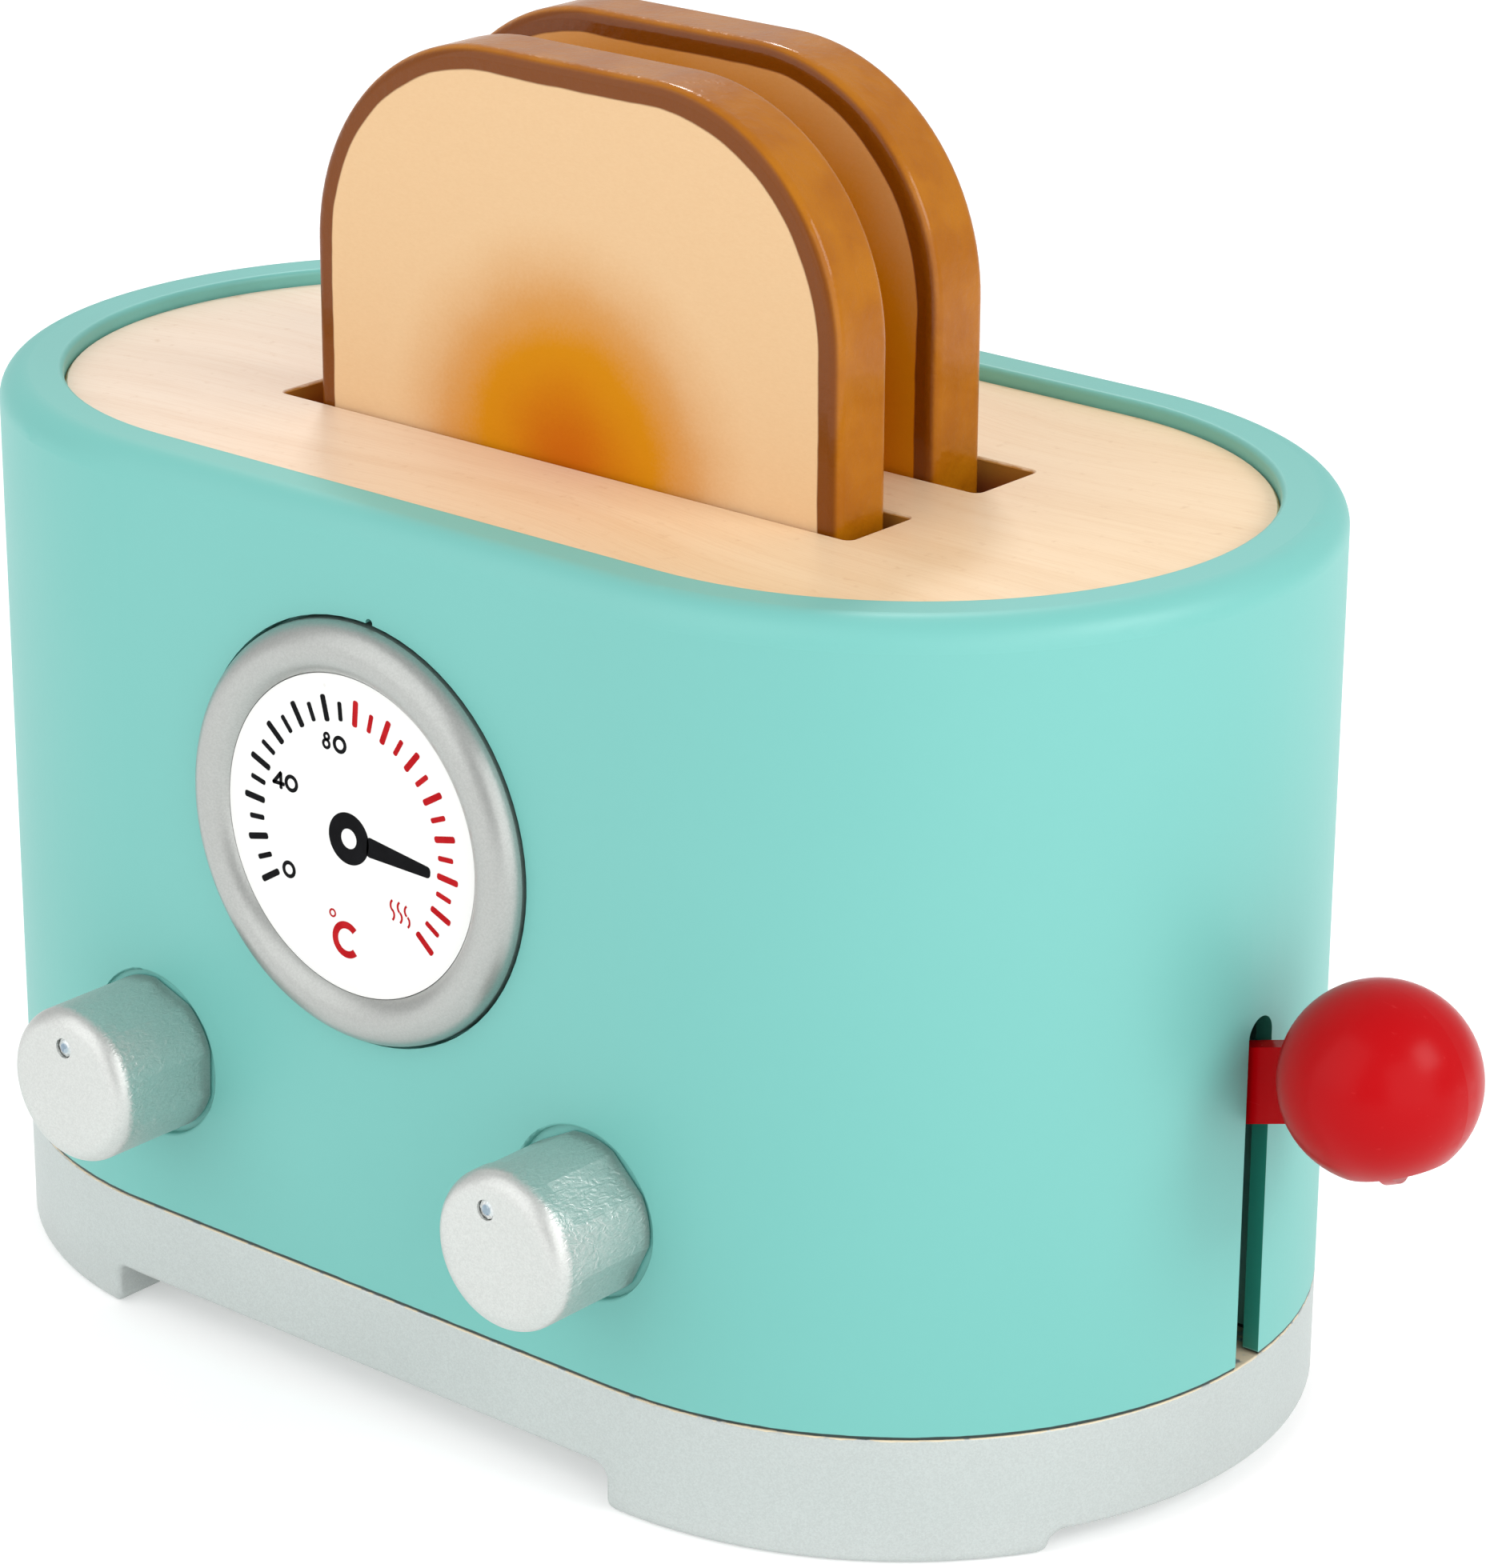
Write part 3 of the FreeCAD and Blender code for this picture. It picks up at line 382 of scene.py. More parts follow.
rough = plus(tree, spread(tree, film["Clouds"], *shell_rough), times(tree, bare, bare_roughness))
skin = plus(tree, film["Peel"], times(tree, film["Nibs"], shell_nibs))
lay(tree, shader, Base_Color=blended(tree, bare, paint, bare_grain["Colour"]), Roughness=rough)
lay(tree, shader, Normal=raised(tree, skin, strength=0.25, distance=0.00007), Specular_IOR_Level=0.6)
dress(shell_finish, "body_shell")

# ---- top plate -----------------------------------------------------------------------------------
# A plain board of pale wood dropped inside the rim, its two slots routed through, then lacquered.
# The slots' walls are browner end grain, darkened further with depth as painted shade.

plate_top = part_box("top_plate")[1].z
warm_edge = (-0.06, 0.07)
pale_ends = (srgb(250, 227, 203), srgb(247, 217, 177))
dark_ends = (srgb(238, 207, 178), srgb(236, 199, 153))
lip_waves_per_metre = (500, 500, 500)
lip_wave = 0.00025
lip_edge = (0.00005, 0.00030)
lip_brown_and_shade = srgb(190, 132, 50)
wall_edge = (0.0008, 0.0045)
wall_brown_and_shade = srgb(164, 88, 40)
plate_rough = (0.42, 0.56)
pore_relief = 0.6

plate_finish, tree, shader, place = finish_of("lacquered birch")
where = axes(tree, place)
warm = eased(tree, where["X"], *warm_edge)
pale = blended(tree, warm, *pale_ends)
dark = blended(tree, warm, *dark_ends)
grain = use_group(tree, wood_grain, Place=place, Pale=pale, Dark=dark, Banding=0.40)
lip_waves = spread(tree, mottle(tree, place, lip_waves_per_metre, detail=3.0), -lip_wave, lip_wave)
depth = plus(tree, minus(tree, plate_top, where["Z"]), lip_waves)
# The slots' walls go browner with depth below the face: end grain, darkened as painted shade.
colour = blended(tree, eased(tree, depth, *lip_edge), grain["Colour"], lip_brown_and_shade)
colour = blended(tree, eased(tree, depth, *wall_edge), colour, wall_brown_and_shade)
relief = minus(tree, grain["Fibre"], times(tree, grain["Pores"], pore_relief))
lay(tree, shader, Base_Color=colour, Roughness=spread(tree, grain["Fibre"], *plate_rough))
lay(tree, shader, Normal=raised(tree, relief, strength=0.22, distance=0.00006))
lay(tree, shader, Coat_Weight=0.30, Coat_Roughness=0.32)
dress(plate_finish, "top_plate")

# ---- gauge ---------------------------------------------------------------------------------------
# A silver painted half-round ring holds a white disc. The scale, numbers and pointer are printed on
# the disc in black and red ink, so nothing here turns.

ring_finish = silver_finish("silver ring", srgb(180, 182, 179), roughness=0.34, peel_height=0.00005)
dress(ring_finish, "gauge_bezel")

disc_white = srgb(252, 252, 250)
disc_shaded = srgb(246, 246, 243)
disc_dust = srgb(220, 218, 212)
dust_share = 0.4
disc_rough = (0.38, 0.48)
dial_finish, tree, shader, place = finish_of("white disc")
film = use_group(tree, paint_film, Place=place, Peel_per_Metre=1500.0, Clouds_per_Metre=60.0)
colour = blended(tree, film["Clouds"], disc_white, disc_shaded)
colour = blended(tree, times(tree, film["Nibs"], dust_share), colour, disc_dust)
lay(tree, shader, Base_Color=colour, Roughness=spread(tree, film["Clouds"], *disc_rough))
lay(tree, shader, Normal=raised(tree, film["Peel"], strength=0.15, distance=0.00003))
dress(dial_finish, "gauge_dial")

ink_thin_edge = (0.35, 0.75)
ink_rough = (0.35, 0.5)


def ink(name, full, thin):
    """Screen-printed ink with a slightly uneven cover."""
    material, tree, shader, place = finish_of(name)
    film = use_group(tree, paint_film, Place=place, Peel_per_Metre=3000.0, Clouds_per_Metre=400.0)
    thinned = eased(tree, film["Clouds"], *ink_thin_edge)
    lay(tree, shader, Base_Color=blended(tree, thinned, full, thin), Specular_IOR_Level=0.06)
    lay(tree, shader, Roughness=spread(tree, film["Peel"], *ink_rough))
    lay(tree, shader, Normal=raised(tree, film["Peel"], strength=0.2, distance=0.00002))
    return material


black_ink = ink("black ink", srgb(4, 4, 7), srgb(14, 14, 18))
red_ink = ink("red ink", srgb(182, 12, 22), srgb(194, 28, 34))

dial_low, dial_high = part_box("gauge_dial")
dial_x = (dial_low.x + dial_high.x) / 2
dial_z = (dial_low.z + dial_high.z) / 2
ink_proud = 0.00004
ink_sunk = 0.00002
ink_middle = dial_low.y - (ink_proud - ink_sunk) / 2
upright = math.pi / 2
bar_round = 0.36
round_steps = 4
ring_sides = 72


def on_disc(at):
    """The place of a mark whose x and z are measured from the disc's middle."""
    return (dial_x + at[0], ink_middle, dial_z + at[1])


def alone(piece=None):
    """Deselects everything, then picks one piece if it is given."""
    bpy.ops.object.select_all(action="DESELECT")
    if piece is not None:
        piece.select_set(True)
        bpy.context.view_layer.objects.active = piece


def edit_all():
    """Goes into the active piece with all of it selected."""
    bpy.ops.object.mode_set(mode="EDIT")
    bpy.ops.mesh.select_all(action="SELECT")


def round_corners(width):
    """Rounds the corners of a flat outline."""
    edit_all()
    bpy.ops.mesh.bevel(offset=width, segments=round_steps, affect="VERTICES")
    bpy.ops.object.mode_set(mode="OBJECT")


def inked(piece):
    """Turns a flat outline into a thin layer of ink on the disc."""
    alone(piece)
    bpy.ops.object.transform_apply(location=True, rotation=True, scale=True)
    layer = piece.modifiers.new("ink", "SOLIDIFY")
    layer.thickness = ink_proud + ink_sunk
    layer.offset = 0.0
    bpy.ops.object.modifier_apply(modifier="ink")
    edit_all()
    bpy.ops.mesh.normals_make_consistent(inside=False)
    bpy.ops.object.mode_set(mode="OBJECT")
    return piece


def printed_bar(at, length, width, tilt):
    """Bar with rounded ends, tilted from level."""
    alone()
    turned = (upright, -tilt, 0.0)
    bpy.ops.mesh.primitive_plane_add(size=1.0, location=on_disc(at), rotation=turned)
    bar = bpy.context.object
    bar.scale = (length, width, 1.0)
    bpy.ops.object.transform_apply(location=False, rotation=False, scale=True)
    round_corners(width * bar_round)
    return inked(bar)


def printed_ring(at, outer, inner, gap=None):
    """Ring, or an arc where the part between two angles in degrees is left out."""
    alone()
    middle = on_disc(at)
    turned = (upright, 0.0, 0.0)
    bpy.ops.mesh.primitive_circle_add(vertices=ring_sides, radius=outer, location=middle, rotation=turned)
    ring = bpy.context.object
    edit_all()
    bpy.ops.mesh.extrude_edges_move()
    share = inner / outer
    bpy.ops.transform.resize(value=(share, share, share), center_override=middle)
    bpy.ops.mesh.select_all(action="DESELECT")
    bpy.ops.object.mode_set(mode="OBJECT")
    if gap:
        start, end = gap
        for face in ring.data.polygons:
            turn = math.degrees(math.atan2(face.center.y, face.center.x)) % 360
            face.select = start < turn < end or start < turn - 360 < end
        bpy.ops.object.mode_set(mode="EDIT")
        bpy.ops.mesh.delete(type="FACE")
        bpy.ops.object.mode_set(mode="OBJECT")
    return inked(ring)


def stroke(start, end, width):
    """Bar from one point on the disc to another."""
    run = end[0] - start[0]
    rise = end[1] - start[1]
    middle = ((start[0] + end[0]) / 2, (start[1] + end[1]) / 2)
    return printed_bar(middle, math.hypot(run, rise) + width, width, math.atan2(rise, run))


def printed(name, pieces, material):
    """Joins the marks of one ink into one piece that stays with the housing."""
    alone()
    for piece in pieces:
        piece.select_set(True)
    bpy.context.view_layer.objects.active = pieces[0]
    bpy.ops.object.join()
    mark = bpy.context.object
    mark.name = name
    mark.data.name = name
    mark.data.materials.clear()
    mark.data.materials.append(material)
    bpy.ops.object.transform_apply(location=True, rotation=True, scale=True)
    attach(mark, "housing")


# The scale: 29 marks, long and short by turns, the first 14 black and the rest red.
scale_start = math.radians(211.7)
scale_step = math.radians(9.03)
mark_count = 29
first_red = 14
long_mark = (0.0171, 0.0036, 0.00088)
short_mark = (0.0168, 0.0026, 0.00070)
black_marks = []
red_marks = []
for number in range(mark_count):
    turn = scale_start - number * scale_step
    reach, length, width = short_mark if number % 2 else long_mark
    mark = printed_bar((reach * math.cos(turn), reach * math.sin(turn)), length, width, turn)
    (black_marks if number < first_red else red_marks).append(mark)

# The numbers 0, 40 and 80: a ring for each nought, three strokes for the 4, two rings for the 8.
figure_width = 0.00052
nought_radius = 0.0012
nought_places = ((-0.01117, -0.00733), (-0.01033, 0.00475), (-0.00146, 0.01221))
four_corner = (-0.01348, 0.0043)
four_strokes = (
    ((-0.01225, 0.0057), four_corner),
    (four_corner, (-0.0118, 0.0043)),
    ((-0.01222, 0.0056), (-0.01222, 0.0038)),
)
eight_rings = (((-0.00374, 0.01283), 0.00060, 0.00022), ((-0.00383, 0.01180), 0.00074, 0.00034))
for at in nought_places:
    black_marks.append(printed_ring(at, nought_radius, nought_radius - figure_width))
for start, end in four_strokes:
    black_marks.append(stroke(start, end, figure_width))
for at, outer, inner in eight_rings:
    black_marks.append(printed_ring(at, outer, inner))
printed("dial_print_black", black_marks, black_ink)

# The degree sign and its C, and three small waves for heat, each of two arcs that bend opposite ways.
degree_at = (-0.00342, -0.01133)
letter_at = (-0.00100, -0.01446)
letter_gap = (-47.0, 47.0)
wave_places = ((0.00729, -0.00812), (0.00858, -0.00817), (0.00987, -0.00842))
wave_bend = 0.00091
wave_width = 0.00030
wave_lean = 4.0
wave_half_rise = 0.00066
wave_half_sway = 0.0006
right_bend_gap = (50.0, 310.0)
left_bend_gap = (-130.0, 130.0)
red_marks.append(printed_ring(degree_at, outer=0.00060, inner=0.00036))
red_marks.append(printed_ring(letter_at, outer=0.00252, inner=0.00154, gap=letter_gap))
for number, (x, z) in enumerate(wave_places):
    lean = math.radians(wave_lean * number)
    up = Vector((math.sin(-lean), 0.0, math.cos(lean)))
    side = Vector((math.cos(lean), 0.0, math.sin(lean)))
    for end, bulge, gap in ((1, -1, left_bend_gap), (-1, 1, right_bend_gap)):
        middle = up * (end * wave_half_rise) - side * (bulge * wave_half_sway)
        at = (x + middle.x, z + middle.z)
        red_marks.append(printed_ring(at, wave_bend + wave_width / 2, wave_bend - wave_width / 2, gap))
printed("dial_print_red", red_marks, red_ink)

# The pointer: a ring at the middle and a tapered hand.
hub_at = (-0.0002, -0.0003)
hub_outer = 0.00354
hub_inner = 0.00137
hand_angle = math.radians(-4.4)
hand_start = hub_outer * 0.9
hand_tip = 0.0143
hand_half_start = 0.0014
hand_half_tip = 0.00076
hand_round = 0.00055
hub = printed_ring(hub_at, hub_outer, hub_inner)
alone()
bpy.ops.mesh.primitive_plane_add(size=1.0, location=(0.0, 0.0, 0.0))
hand = bpy.context.object
for corner in hand.data.vertices:
    at_tip = corner.co.x > 0
    corner.co.x = hand_tip if at_tip else hand_start
    corner.co.y = math.copysign(hand_half_tip if at_tip else hand_half_start, corner.co.y)
round_corners(hand_round)
hand.rotation_euler = (upright, -hand_angle, 0.0)
hand.location = on_disc(hub_at)
printed("dial_pointer", [hub, inked(hand)], black_ink)

# ---- knobs ---------------------------------------------------------------------------------------
# Two turned wooden knobs, each with five flats cut on its side, sprayed silver like the base.
# A small clear cut stone is glued in each face to mark where the knob points.

knob_finish = silver_finish(
    "silver knobs", srgb(210, 212, 209), roughness=0.40, peel_height=0.00006, side_creases=1.4
)
dress(knob_finish, "knob_left", "knob_right")


def nylon_finish(name, light, deep, roughness):
    """Turned or moulded nylon, blended between two given colours."""
    material, tree, shader, place = finish_of(name)
    film = use_group(tree, paint_film, Place=place, Peel_per_Metre=800.0, Clouds_per_Metre=70.0)
    lay(tree, shader, Base_Color=blended(tree, film["Clouds"], light, deep))
    lay(tree, shader, Roughness=spread(tree, film["Clouds"], *roughness))
    lay(tree, shader, Normal=raised(tree, film["Peel"], strength=0.15, distance=0.00005))
    return material


# The nylon bushes behind the knobs are coloured a deeper mint than the paint, as painted shade in the gap
# around each knob.
bush_shade_finish = nylon_finish("nylon as painted shade", srgb(70, 176, 162), srgb(52, 160, 146), roughness=(0.45, 0.6))
dress(bush_shade_finish, "knob_bushes")

# The stone's edge is painted near white as a painted highlight, and its middle blue grey as a painted
# reflection.
jewels = ("knob_left_jewel", "knob_right_jewel")
facets_per_metre = 1500.0
jewel_low, jewel_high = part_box("knob_left_jewel")
jewel_radius = (jewel_high.x - jewel_low.x) / 2
middle_reflection_edge = (jewel_radius * 0.62, jewel_radius * 0.46)
jewel_rough = (0.05, 0.16)
edge_highlight_shades = (srgb(252, 253, 252), srgb(196, 208, 210))
middle_reflection_shades = (srgb(112, 138, 158), srgb(168, 186, 196))
jewel_finish, tree, shader, place = finish_of("stone with painted highlights")
where = axes(tree, place)
from_jewels = []
for node in jewels:
    low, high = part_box(node)
    off_x = minus(tree, where["X"], (low.x + high.x) / 2)
    off_z = minus(tree, where["Z"], (low.z + high.z) / 2)
    from_jewels.append(span(tree, off_x, off_z))
from_jewel = reckon(tree, "MINIMUM", *from_jewels)
facets = put(tree, "TexVoronoi", Vector=place, Scale=facets_per_metre).outputs
facet_shade = put(tree, "SeparateColor", Color=facets["Color"]).outputs[0]
edge_highlight = blended(tree, facet_shade, *edge_highlight_shades)
deep = blended(tree, facet_shade, *middle_reflection_shades)
# The middle of each stone takes the painted reflection, and its edge the painted highlight.
middle_reflection_mask = eased(tree, from_jewel, *middle_reflection_edge)
lay(tree, shader, Base_Color=blended(tree, middle_reflection_mask, edge_highlight, deep), Metallic=0.35)
lay(tree, shader, Roughness=spread(tree, facet_shade, *jewel_rough))
lay(tree, shader, Normal=raised(tree, facets["Distance"], strength=0.5, distance=0.0002))
lay(tree, shader, Coat_Weight=1.0, Coat_Roughness=0.02)
dress(jewel_finish, *jewels)

# ---- lever ---------------------------------------------------------------------------------------
# Ball, blade, hub and inner arm are one red moulding, left as glossy as it came from the mould.
# A few fine pale rubs run along it, from sliding through its slot.

red = srgb(190, 2, 11)
red_deep = srgb(182, 1, 9)
red_rubbed = srgb(232, 70, 72)
rubs_per_metre = (70, 1500, 1500)
rub_edge = (0.66, 0.74)
rub_share = 0.15
rub_roughness = 0.1
red_deep_share = 0.8
red_rough = (0.24, 0.32)
red_nibs = 0.5
lever_finish, tree, shader, place = finish_of("red moulding")
film = use_group(tree, paint_film, Place=place, Peel_per_Metre=420.0, Clouds_per_Metre=26.0)
rubs = eased(tree, mottle(tree, place, rubs_per_metre, detail=3.0), *rub_edge)
colour = blended(tree, spread(tree, film["Clouds"], 0.0, red_deep_share), red, red_deep)
colour = blended(tree, times(tree, rubs, rub_share), colour, red_rubbed)
rough = plus(tree, spread(tree, film["Clouds"], *red_rough), times(tree, rubs, rub_roughness))
skin = plus(tree, film["Peel"], times(tree, film["Nibs"], red_nibs))
lay(tree, shader, Base_Color=colour, Roughness=rough, Specular_IOR_Level=0.14)
lay(tree, shader, Normal=raised(tree, skin, strength=0.12, distance=0.00008))
dress(lever_finish, "lever")

# ---- bread slices --------------------------------------------------------------------------------
# Each slice is a flat board with rounded shoulders, its faces sprayed cream. One face is airbrushed
# with a small toasted spot and the other is toasted nearly to its edge; the rear slice is turned
# round. The edge is brushed with thick glossy brown lacquer that laps onto the faces, and is
# darker where it faces along Y as painted shade.

# Place on a slice: how far inside its outline, and how far from the middle of the toasted spot.
slice_low, slice_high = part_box("toast_front")
slice_half = (slice_high.x - slice_low.x) / 2
shoulder = 0.031
spot_above_foot = 0.043
spot_height = slice_low.z + spot_above_foot
slice_plan, plan_takes, plan_gives = new_group(
    "slice plan",
    [("Place", "Vector", None), ("Middle", "Float", 0.0)],
    [("Inset", "Float"), ("From Spot", "Float")],
)
plan_axes = axes(slice_plan, plan_takes["Place"])
off_x = minus(slice_plan, plan_axes["X"], plan_takes["Middle"])
over_x = minus(slice_plan, size_of(slice_plan, off_x), slice_half - shoulder)
over_z = minus(slice_plan, plan_axes["Z"], slice_high.z - shoulder)
out_x = reckon(slice_plan, "MAXIMUM", over_x, 0.0)
out_z = reckon(slice_plan, "MAXIMUM", over_z, 0.0)
corner = span(slice_plan, out_x, out_z)
flat = reckon(slice_plan, "MINIMUM", reckon(slice_plan, "MAXIMUM", over_x, over_z), 0.0)
upper = minus(slice_plan, shoulder, plus(slice_plan, corner, flat))
lower = minus(slice_plan, plan_axes["Z"], slice_low.z)
from_spot = span(slice_plan, off_x, minus(slice_plan, plan_axes["Z"], spot_height))
lay(slice_plan, plan_gives, Inset=reckon(slice_plan, "MINIMUM", upper, lower), From_Spot=from_spot)

creams = (srgb(237, 201, 157), srgb(228, 187, 141))
crust_browns = (srgb(180, 110, 12), srgb(168, 98, 8))
crust_face_shade = srgb(124, 64, 4)
spot_core = 0.0180
spot_halo = 0.0330
tan_edge = (spot_halo, spot_core)
gold_edge = (spot_core * 0.5 + spot_halo * 0.5, spot_core * 0.94)
amber_edge = (spot_core + 0.0016, spot_core - 0.0036)
brown_edge = (spot_core * 0.85, 0.001)
toasting = (
    (tan_edge, srgb(219, 164, 104)),
    (gold_edge, srgb(217, 152, 74)),
    (amber_edge, srgb(214, 140, 8)),
    (brown_edge, srgb(200, 104, 2)),
)
toasted_stretch = 0.75
toasted_growth = 0.0180
crust_edge = (0.0033, 0.0030)
crust_wobble = 0.00030
crust_rough = (0.24, 0.34)
crust_coat = 0.32
brush_edge = (0.30, 0.70)
brush_relief = 2.0
face_shade_edge = (0.55, 0.90)
face_rough = (0.50, 0.62)
face_relief = 0.12
weave_share = 0.6
spray_grain = 0.0012
spray_drift = 0.003
weave_per_metre = (1500, 1500, 3200)
wobbles_per_metre = 120.0
spray_per_metre = 2500.0
drifts_per_metre = 55.0
brushing_per_metre = 140.0
dapples_per_metre = 620.0


def slice_finish(name, node, toasted_towards):
    """Cream and toasted faces inside a glossy brown crust; the toasted face looks along +Y or -Y."""
    low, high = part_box(node)
    material, tree, shader, place = finish_of(name)
    plan = use_group(tree, slice_plan, Place=place, Middle=(low.x + high.x) / 2)
    film = use_group(tree, paint_film, Place=place, Peel_per_Metre=1100.0, Clouds_per_Metre=40.0)
    weave = mottle(tree, place, weave_per_metre, detail=3.0)
    brushed = mottle(tree, place, brushing_per_metre, detail=3.0)
    wobble = mottle(tree, place, wobbles_per_metre, detail=2.0)
    wobble = spread(tree, wobble, -crust_wobble, crust_wobble)
    crust = eased(tree, plus(tree, plan["Inset"], wobble), *crust_edge)

    grain = spread(tree, mottle(tree, place, spray_per_metre, detail=2.0), -spray_grain, spray_grain)
    drift = spread(tree, mottle(tree, place, drifts_per_metre, detail=2.0), -spray_drift, spray_drift)
    distance = plus(tree, plus(tree, plan["From Spot"], grain), drift)
    wide = minus(tree, times(tree, distance, toasted_stretch), toasted_growth)
    side = minus(tree, axes(tree, place)["Y"], (low.y + high.y) / 2)
    on_toasted = reckon(tree, "GREATER_THAN", times(tree, side, toasted_towards), 0.0)
    distance = between(tree, on_toasted, distance, wide)
    face = blended(tree, spread(tree, weave, 0.0, weave_share), *creams)
    for edge, toasted in toasting:
        face = blended(tree, eased(tree, distance, *edge), face, toasted)

    # Where the crust turns onto the faces it is darkened as painted shade.
    face_shade = eased(tree, size_of(tree, facing(tree)["Y"]), *face_shade_edge)
    brown = blended(tree, eased(tree, brushed, *brush_edge), *crust_browns)
    brown = blended(tree, face_shade, brown, crust_face_shade)
    rough = between(tree, crust, spread(tree, weave, *face_rough), spread(tree, brushed, *crust_rough))
    dapple = mottle(tree, place, dapples_per_metre, detail=3.0)
    lumps = times(tree, plus(tree, dapple, times(tree, brushed, brush_relief)), crust)
    fine = times(tree, plus(tree, weave, film["Nibs"]), face_relief)
    lay(tree, shader, Base_Color=blended(tree, crust, face, brown), Roughness=rough)
    lay(tree, shader, Normal=raised(tree, plus(tree, lumps, fine), strength=0.4, distance=0.00045))
    lay(tree, shader, Coat_Weight=times(tree, crust, crust_coat), Coat_Roughness=0.08)
    lay(tree, shader, Specular_IOR_Level=0.10)
    dress(material, node)


slice_finish("front slice", "toast_front", 1.0)
slice_finish("rear slice", "toast_back", -1.0)

# ---- carriage and its guides ---------------------------------------------------------------------
# The grooved carriage and the stop sleeves are bare plywood. The carriage runs in white nylon
# bushes on two steel rods and lands on grey felt washers. The pivot's bracket and the lift yoke are
# white nylon too, held by zinc plated screws.

ply_thickness = 0.0030
ply_layer_edge = (0.20, 0.30)
ply_side_edge = (0.6, 0.3)
ply_share = 0.55
ply_brown = srgb(168, 122, 76)
ply_rough = (0.6, 0.8)
ply_wood = {"Pale": srgb(232, 205, 160), "Dark": srgb(200, 160, 110), "Banding": 0.6}
carriage_finish, tree, shader, place = finish_of("bare plywood")
grain = use_group(tree, wood_grain, Place=place, **ply_wood)
level = times(tree, axes(tree, place)["Z"], 1.0 / ply_thickness)
layers = eased(tree, reckon(tree, "PINGPONG", level, 0.5), *ply_layer_edge)
on_side = eased(tree, size_of(tree, facing(tree)["Z"]), *ply_side_edge)
ply = times(tree, times(tree, layers, on_side), ply_share)
lay(tree, shader, Base_Color=blended(tree, ply, grain["Colour"], ply_brown))
lay(tree, shader, Roughness=spread(tree, grain["Fibre"], *ply_rough))
lay(tree, shader, Normal=raised(tree, grain["Fibre"], strength=0.35, distance=0.00012))
dress(carriage_finish, "toast_carriage", "stop_sleeves")

white_finish = nylon_finish("white nylon", srgb(238, 237, 230), srgb(224, 222, 212), roughness=(0.35, 0.5))
dress(white_finish, "guide_bushes", "pivot_bracket", "lift_yoke")

drawn_lines_per_metre = (2600, 2600, 60)
steel_shades = (srgb(196, 198, 200), srgb(168, 170, 174))
steel_rough = (0.18, 0.34)
steel_finish, tree, shader, place = finish_of("drawn steel")
lines = mottle(tree, place, drawn_lines_per_metre, detail=3.0)
lay(tree, shader, Base_Color=blended(tree, lines, *steel_shades), Metallic=1.0)
lay(tree, shader, Roughness=spread(tree, lines, *steel_rough))
lay(tree, shader, Normal=raised(tree, lines, strength=0.15, distance=0.00003))
dress(steel_finish, "guide_rods", "pivot_pin", "lift_pin", "pivot_clips")

zinc_shades = (srgb(200, 202, 200), srgb(172, 172, 160))
zinc_rough = (0.28, 0.5)
zinc_finish, tree, shader, place = finish_of("zinc plated screws")
film = use_group(tree, paint_film, Place=place, Peel_per_Metre=2200.0, Clouds_per_Metre=260.0)
lay(tree, shader, Base_Color=blended(tree, film["Clouds"], *zinc_shades), Metallic=0.9)
lay(tree, shader, Roughness=spread(tree, film["Clouds"], *zinc_rough))
lay(tree, shader, Normal=raised(tree, film["Peel"], strength=0.3, distance=0.00004))
dress(zinc_finish, "base_screws", "bracket_screws", "yoke_screws", "knob_left_screw", "knob_right_screw")

hairs_per_metre = 2400.0
tufts_per_metre = 420.0
felt_greys = (srgb(120, 122, 124), srgb(166, 168, 168))
felt_rough = (0.85, 1.0)
felt_finish, tree, shader, place = finish_of("grey felt")
hairs = mottle(tree, place, hairs_per_metre, detail=6.0)
tufts = mottle(tree, place, tufts_per_metre, detail=3.0)
lay(tree, shader, Base_Color=blended(tree, hairs, *felt_greys))
lay(tree, shader, Roughness=spread(tree, tufts, *felt_rough))
lay(tree, shader, Normal=raised(tree, plus(tree, hairs, tufts), strength=0.8, distance=0.0003))
dress(felt_finish, "felt_washers")

# ---- floor, light and camera ---------------------------------------------------------------------
# A plain white sweep and soft light all round. A lamp and a broad low card stand off the lever's
# end, a broad lamp in front, and a small lamp behind draws the slices' faint shadows forward.

floor_width = 14.0
floor_glow = 0.30
light_round = 0.66
white = (1.0, 1.0, 1.0, 1.0)
alone()
bpy.ops.mesh.primitive_plane_add(size=floor_width, location=(0.0, 0.0, 0.0))
floor = bpy.context.object
floor.name = "floor"
floor_paint = bpy.data.materials.new("white sweep")
floor_paint.use_nodes = True
tree = floor_paint.node_tree
tree.nodes.clear()
rays = put(tree, "LightPath").outputs
seen = reckon(tree, "MAXIMUM", rays["Is Camera Ray"], rays["Is Glossy Ray"])
matte = put(tree, "BsdfDiffuse", Color=srgb(246, 246, 246))
glow = put(tree, "Emission", Color=white, Strength=times(tree, seen, floor_glow))
both = put(tree, "AddShader")
feed(tree, matte.outputs[0], both.inputs[0])
feed(tree, glow.outputs[0], both.inputs[1])
put(tree, "OutputMaterial", Surface=both.outputs[0])
floor.data.materials.append(floor_paint)

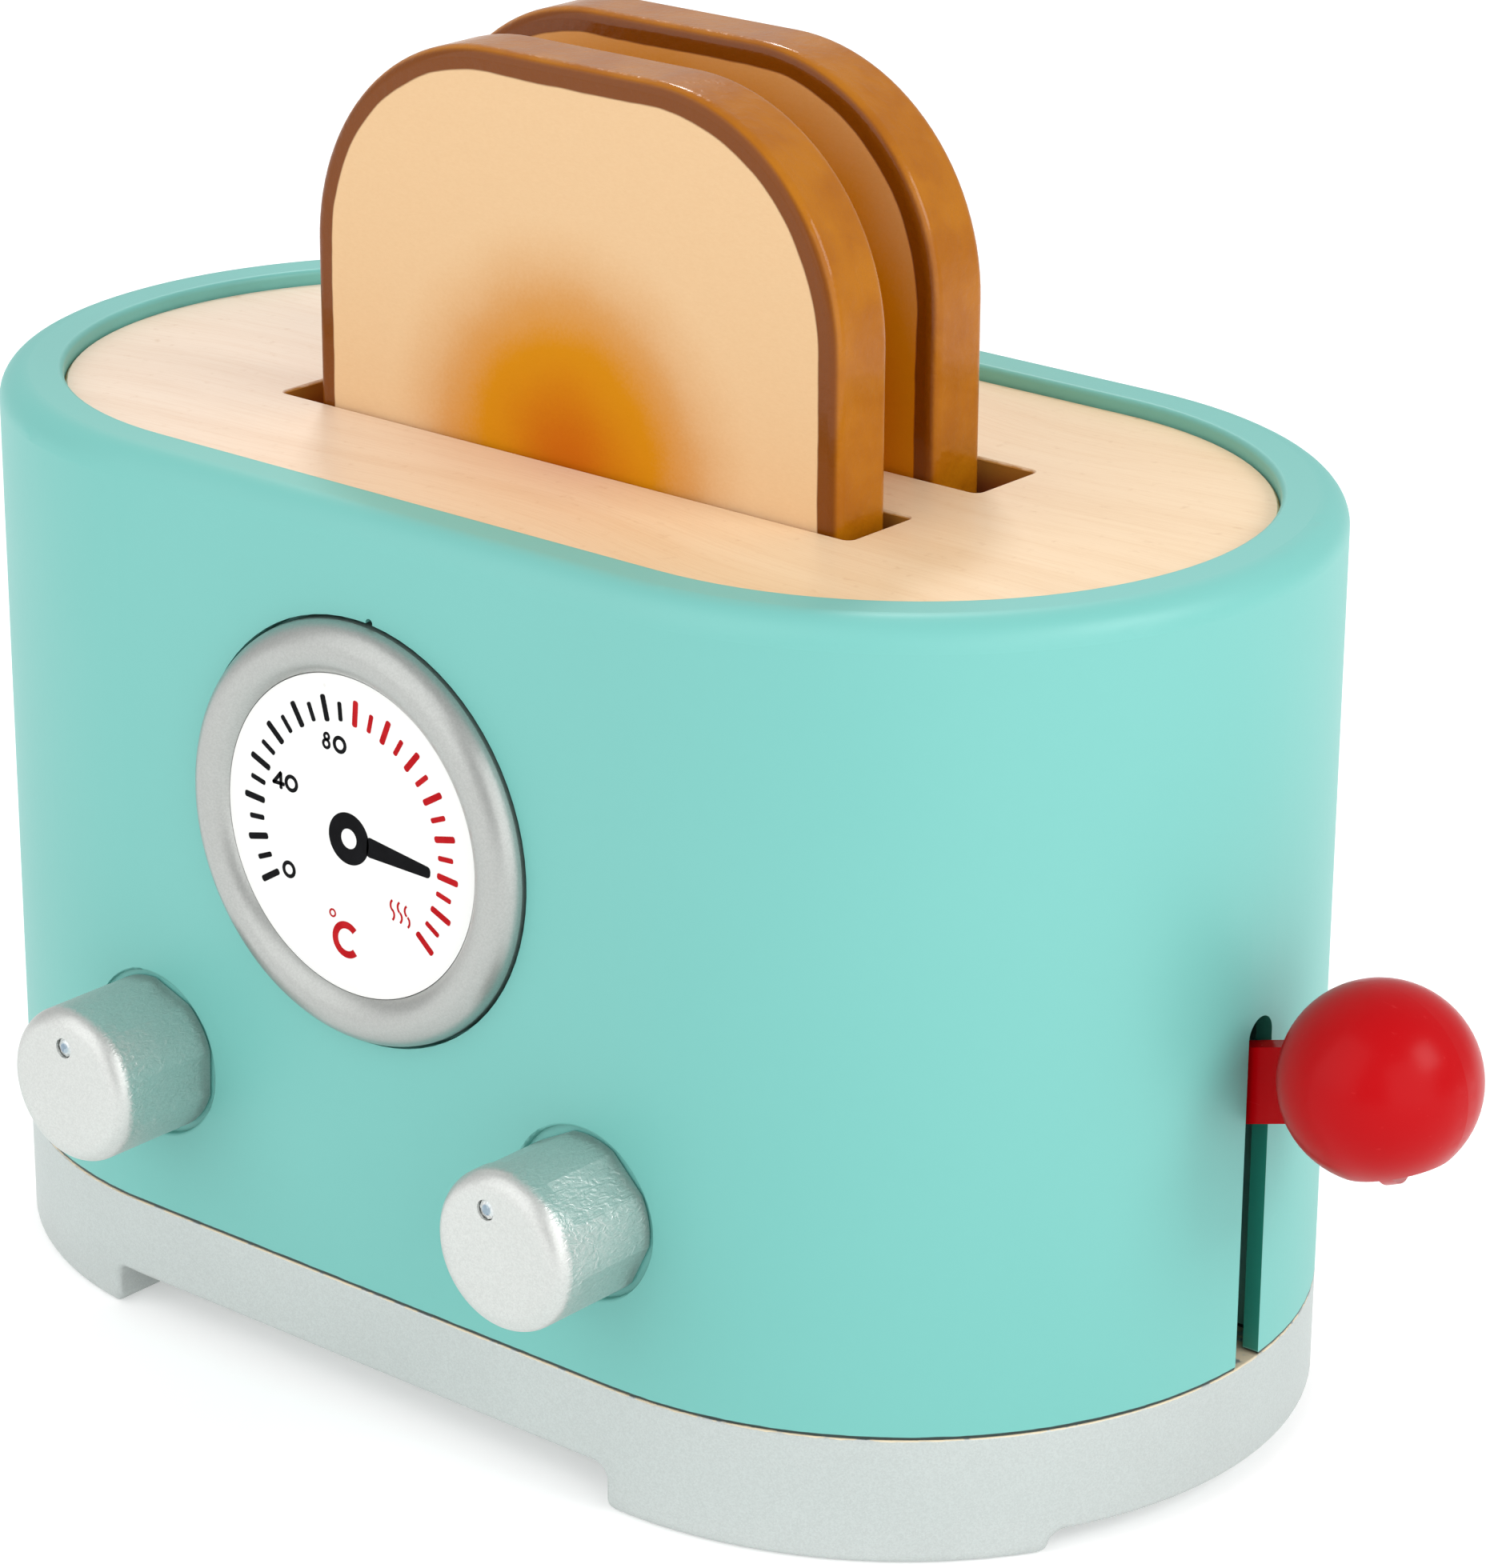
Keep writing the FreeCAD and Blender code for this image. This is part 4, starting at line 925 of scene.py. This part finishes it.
world = bpy.data.worlds.new("studio")
bpy.context.scene.world = world
world.use_nodes = True
tree = world.node_tree
tree.nodes.clear()
rays = put(tree, "LightPath").outputs
seen = reckon(tree, "MAXIMUM", rays["Is Camera Ray"], rays["Is Transmission Ray"])
strength = plus(tree, times(tree, seen, 1.0 - light_round), light_round)
sky = put(tree, "Background", Color=white, Strength=strength)
put(tree, "OutputWorld", Surface=sky.outputs[0])

lit_height = 0.09


def lamp(name, towards, distance, size, power):
    """Square soft lamp that faces the middle of the toaster from a direction."""
    data = bpy.data.lights.new(name, "AREA")
    data.shape = "SQUARE"
    data.size = size
    data.energy = power
    piece = bpy.data.objects.new(name, data)
    bpy.context.scene.collection.objects.link(piece)
    away = Vector(towards).normalized()
    piece.location = Vector((0.0, 0.0, lit_height)) + away * distance
    piece.rotation_mode = "QUATERNION"
    piece.rotation_quaternion = away.to_track_quat("Z", "Y")


lamp("side lamp", (0.83, 0.14, 0.54), distance=0.9, size=0.34, power=2.0)
lamp("side card", (0.90, -0.30, 0.22), distance=0.9, size=0.80, power=2.3)
lamp("back lamp", (-0.48, 0.52, 0.71), distance=1.2, size=0.14, power=2.4)
lamp("front lamp", (-0.30, -0.80, 0.50), distance=1.1, size=1.3, power=5.0)

# The camera stands off the right end of the front and looks a little down; angles are in radians.
bearing = 0.6968
pitch = 0.3609
roll = 0.0062
reach = 0.7200
aim = Vector((0.011620, 0.008175, 0.074004))
back = Vector((math.sin(bearing) * math.cos(pitch), -math.cos(bearing) * math.cos(pitch), math.sin(pitch)))
level = (-back).cross(Vector((0.0, 0.0, 1.0))).normalized()
over = level.cross(-back)
side = level * math.cos(roll) + over * math.sin(roll)
top = over * math.cos(roll) - level * math.sin(roll)
lens = bpy.data.cameras.new("camera")
lens.lens = 121.451
lens.sensor_width = 36.0
lens.clip_start = 0.02
lens.clip_end = 40.0
camera = bpy.data.objects.new("camera", lens)
bpy.context.scene.collection.objects.link(camera)
camera.matrix_world = Matrix.Translation(aim + back * reach) @ Matrix((side, top, back)).transposed().to_4x4()
bpy.context.scene.camera = camera
bpy.context.scene.view_settings.view_transform = "Standard"
